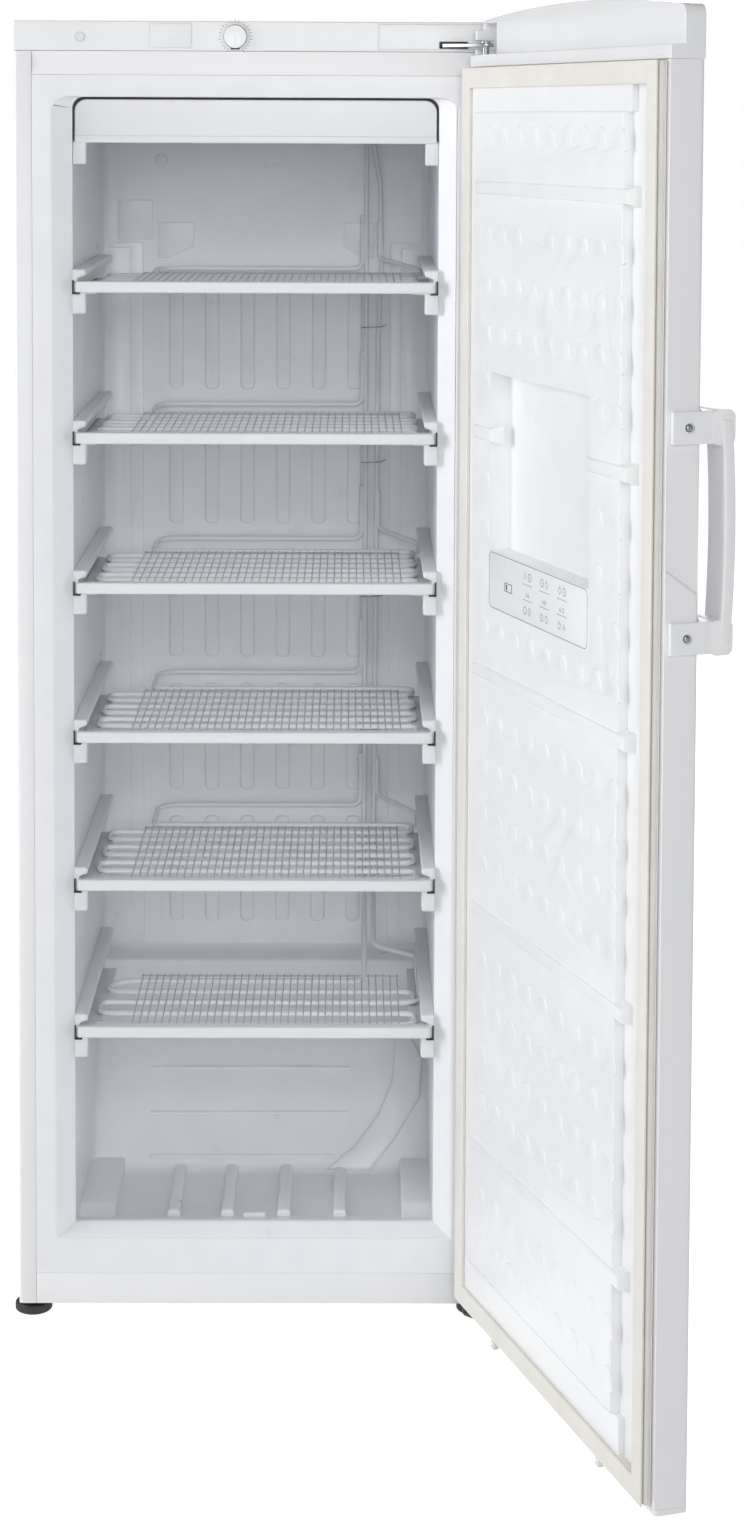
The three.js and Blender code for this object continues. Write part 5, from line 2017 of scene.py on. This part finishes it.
# ---------------------------------------------------------------- compressor, condenser and feet
@dataclass
class Machine(SubAssembly):
    """What stands behind and below: compressor, wire-and-tube condenser, feet."""

    centre: Pair = (-90.0, 428.0)
    radius: float = 68.0
    seat: float = 19.8
    top: float = 158.0
    half: float = 255.0
    low: float = 370.0
    runs: int = 10
    pitch: float = 128.0
    tube: float = 3.0
    y: float = 540.0
    back: float = 520.0
    strap: float = 200.0
    wires: int = 60
    feet: Place = (284.0, 26.0, 0.0)
    rear_feet: Place = (250.0, 480.0, 0.0)

    def build(self) -> None:
        """Builds the machine side."""
        self.keep(self.compressor(), BLACK_PAINT, "compressor")
        self.keep(self.condenser(), BLACK_PAINT, "condenser", smooth=60)
        self.keep(self.wire_field(), BLACK_PAINT, name="condenser_wires", smooth=60)
        for node, side, rider in (
                ("front_foot_left", -1, Body.LEFT_FOOT), ("front_foot_right", 1, Body.RIGHT_FOOT)):
            self.keep(self.levelling_foot(side * self.feet[0]), BLACK_NYLON, node, body=rider)
        for node, side in (("rear_foot_left", -1), ("rear_foot_right", 1)):
            profile = [(0, 0), (13, 0), (15, 1.6), (15, 15), (13.5, 17.7), (0, 17.7)]
            place = (side * self.rear_feet[0], self.rear_feet[1], 0)
            self.keep(turned(node, profile, place, steps=40), BLACK_NYLON, node)

    def compressor(self) -> Piece:
        """Models the welded can on its plate, with the terminal box, its gland and two stubs.

        Returns:
            The compressor.
        """
        x, y = self.centre
        r, z = self.radius, self.seat
        plate = block("plate", (x - 95, y - 50, z), (x + 95, y + 50, z + 4))
        round_edges(plate, 16, 6, lambda e: along(e, 2))
        profile = [(0, z + 3), (r * 0.6, z + 3), (r * 0.86, 30), (r - 4, 36), (r - 1, 46), (r - 1, 88),
                   (r + 2.5, 90), (r + 2.5, 94), (r - 0.5, 96), (r - 1, 118), (r - 6, 136),
                   (r * 0.74, 149), (r * 0.4, 156), (0, self.top)]
        can = turned("can", profile, (x, y, 0), steps=64)
        box = rounded(block("box", (x + r - 12, y - 20, 60), (x + r + 22, y + 20, 105)), 2.5, 3)
        gland = rod("gland", (x + r + 11, y + 19, 82.5), (x + r + 11, y + 34, 82.5), 8, 24)
        stubs = [rod("stub", (x - 30, y + d, 140), (x - 30, y + d, 166), 3, 16) for d in (-18, 18)]
        rubber = [(0, z - 0.2), (8, z - 0.2), (8, z + 6), (9.5, z + 7), (9.5, z + 11), (0, z + 11)]
        feet = [turned("grommet", rubber, (x + dx, y + dy, 0), steps=24)
                for dx in (-82, 82) for dy in (-38, 38)]
        return combine(plate, [can, box, gland, *stubs, *feet], "UNION")

    def condenser(self) -> Piece:
        """Models the serpentine with its two straps and four stand-offs.

        Returns:
            The condenser.
        """
        corners: list[Place] = []
        for run in range(self.runs):
            z = self.low + run * self.pitch
            side = 1 if run % 2 else -1
            corners += [(side * self.half, self.y, z), (-side * self.half, self.y, z)]
        coil = pipe("coil", bent(corners, 30, 10), self.tube, 3)
        high = self.low + (self.runs - 1) * self.pitch
        parts = []
        for x in (-self.strap, self.strap):
            parts.append(rounded(
                block("strap", (x, self.y - 5, self.low - 20), (x + 14, self.y - 2, high + 20)), 0.6, 2))
            for z in (self.low + self.pitch, high - self.pitch):
                parts.append(rounded(
                    block("stand_off", (x, self.back + 0.3, z), (x + 14, self.y - 3, z + 14)), 0.6, 2))
        return welded("condenser", [coil, *parts])

    def wire_field(self) -> Piece:
        """Models the fine upright wires welded to both faces of the coil.

        Returns:
            The wires.
        """
        high = self.low + (self.runs - 1) * self.pitch + 8
        step = (2 * self.half - 60) / (self.wires - 1)
        wires = []
        for face, y in enumerate((self.y - self.tube - 0.7, self.y + self.tube + 0.7)):
            wire = rod("wire", (0, y, self.low - 8), (0, y, high), 0.8, 6)
            wires += [copied(wire, (-self.half + 30 + (i + face / 2) * step, 0, 0))
                      for i in range(self.wires - face)]
            bpy.data.objects.remove(wire)
        return welded("wires", wires)

    def levelling_foot(self, x: float) -> Piece:
        """Models a front foot: a ribbed wheel on its threaded hub.

        Args:
            x: Its place across.

        Returns:
            The foot.
        """
        y = self.feet[1]
        profile = [(0, 0), (20, 0), (22, 1), (23.2, 2.4), (23.2, 10.8), (22, 12.4), (20, 13), (15.4, 13),
                   (14.6, 13.6), (14.6, 17), (14, 17.7), (0, 17.7)]
        wheel = turned("foot", profile, (x, y, 0), steps=60)
        grips = []
        for step in range(30):
            angle = math.tau * step / 30
            place = (x + 23.1 * math.cos(angle), y + 23.1 * math.sin(angle))
            grips.append(rod("grip", (*place, 2.6), (*place, 10.6), 0.7, 8))
        return welded("foot", [wheel, *grips])


# ---------------------------------------------------------------- stage
@dataclass
class Studio:
    """A pale floor, soft light from the front and a camera where the photograph was taken."""

    space: Matrix
    eye: Place = (120.0, -3604.9, 1530.2)
    tilt: float = 4.136
    heading: float = -0.414
    roll: float = 0.243
    lens: float = 68.117
    shift: float = -0.285
    floor: float = 30.0
    floor_lift: float = 0.8
    level: float = 0.375
    overhead: float = 0.7

    def build(self) -> None:
        """Sets the camera, the floor, the lamps and the world."""
        scene = bpy.context.scene
        scene.view_settings.view_transform = "Standard"
        self.camera(scene)
        self.ground()
        self.lamp("Softbox_Left", (-4.2, -0.9, 2.0), (0.2, -0.1, 0.9), (2.0, 2.4), 98)
        self.lamp("Softbox_Front", (0.2, -5.0, 2.4), (0.0, 0.0, 0.8), (2.4, 2.2), 76)
        self.lamp("Softbox_Back", (1.2, 4.6, 2.0), (0.0, 0.3, 0.8), (2.4, 2.4), 52)
        self.sky(scene)

    def camera(self, scene: bpy.types.Scene) -> None:
        """Places the camera.

        Args:
            scene: The scene that looks through it.
        """
        data = bpy.data.cameras.new("Camera")
        data.lens = self.lens
        data.shift_y = self.shift
        camera = bpy.data.objects.new("Camera", data)
        bpy.context.collection.objects.link(camera)
        camera.location = self.space @ Vector(self.eye)
        turn = (
            Matrix.Rotation(math.radians(self.heading), 3, "Z")
            @ Matrix.Rotation(math.radians(90 - self.tilt), 3, "X")
            @ Matrix.Rotation(math.radians(self.roll), 3, "Z"))
        camera.rotation_euler = turn.to_euler()
        scene.camera = camera

    def ground(self) -> None:
        """Lays the floor: pale, and lifted to white where the camera sees it lit."""
        bpy.ops.object.select_all(action="DESELECT")
        bpy.ops.mesh.primitive_plane_add(size=self.floor)
        floor = bpy.context.object
        floor.name = "Floor"
        material = bpy.data.materials.new("Pale_Floor_Paint")
        material.use_nodes = True
        tree = material.node_tree
        shader = tree.nodes["Principled BSDF"]
        shader.inputs["Base Color"].default_value = linear("#f2f2f2")
        shader.inputs["Roughness"].default_value = 0.9
        seen = add_node(tree, "ShaderNodeLightPath")
        sight = add_node(
            tree, "ShaderNodeMath", {"operation": "MAXIMUM"},
            {0: seen.outputs["Is Camera Ray"], 1: seen.outputs["Is Glossy Ray"]})
        strength = add_node(
            tree, "ShaderNodeMath", {"operation": "MULTIPLY"}, {0: sight.outputs[0]})
        strength.inputs[1].default_value = self.floor_lift
        tree.links.new(strength.outputs[0], shader.inputs["Emission Strength"])
        shader.inputs["Emission Color"].default_value = (1, 1, 1, 1)
        floor.data.materials.append(material)

    def lamp(self, name: str, place: Place, aim: Place, size: Pair, watts: float) -> None:
        """Hangs a soft rectangular lamp.

        Args:
            name: The lamp's name.
            place: Where it hangs, in metres.
            aim: The point it is turned to.
            size: Its width and height.
            watts: Its power.
        """
        data = bpy.data.lights.new(name, "AREA")
        data.shape = "RECTANGLE"
        data.size, data.size_y = size
        data.energy = watts
        lamp = bpy.data.objects.new(name, data)
        bpy.context.collection.objects.link(lamp)
        lamp.location = place
        way = Vector(aim) - Vector(place)
        lamp.rotation_euler = way.to_track_quat("-Z", "Y").to_euler()

    def sky(self, scene: bpy.types.Scene) -> None:
        """Lights the room evenly, and shows white where the camera looks past the object.

        Args:
            scene: The scene that gets the world.
        """
        world = bpy.data.worlds.new("Studio")
        scene.world = world
        world.use_nodes = True
        tree = world.node_tree
        tree.nodes.clear()
        seen = add_node(tree, "ShaderNodeLightPath")
        sight = add_node(
            tree, "ShaderNodeMath", {"operation": "MAXIMUM"},
            {0: seen.outputs["Is Camera Ray"], 1: seen.outputs["Is Transmission Ray"]})
        way = add_node(tree, "ShaderNodeTexCoord").outputs["Generated"]
        height = add_node(tree, "ShaderNodeSeparateXYZ", links={"Vector": way}).outputs["Z"]
        room = add_node(
            tree, "ShaderNodeMapRange", {"To Min": self.level, "To Max": self.level * self.overhead},
            {"Value": height})
        level = add_node(
            tree, "ShaderNodeMix", {"data_type": "FLOAT"},
            {"Factor": sight.outputs[0], 2: room.outputs["Result"]})
        level.inputs[3].default_value = 1.0
        light = add_node(
            tree, "ShaderNodeBackground", {"Color": (1, 1, 1, 1)}, {"Strength": level.outputs[0]})
        add_node(tree, "ShaderNodeOutputWorld", links={"Surface": light.outputs[0]})


def main() -> None:
    """Builds every sub-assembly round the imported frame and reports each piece."""
    logging.basicConfig(level=logging.INFO, format="%(message)s")
    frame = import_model()
    spaces = Spaces.of_frame(frame)
    Studio(spaces.cabinet).build()
    CabinetShell(spaces.cabinet, Body.CABINET).build()
    for section in (Liner, Evaporator, ControlStrip, Hinges, Machine):
        section(spaces.cabinet, Body.CABINET).build()
    for section in (DoorLeaf, DoorLining, DoorSeal, DoorFittings):
        section(spaces.door, Body.DOOR).build()


if __name__ == "__main__":
    main()
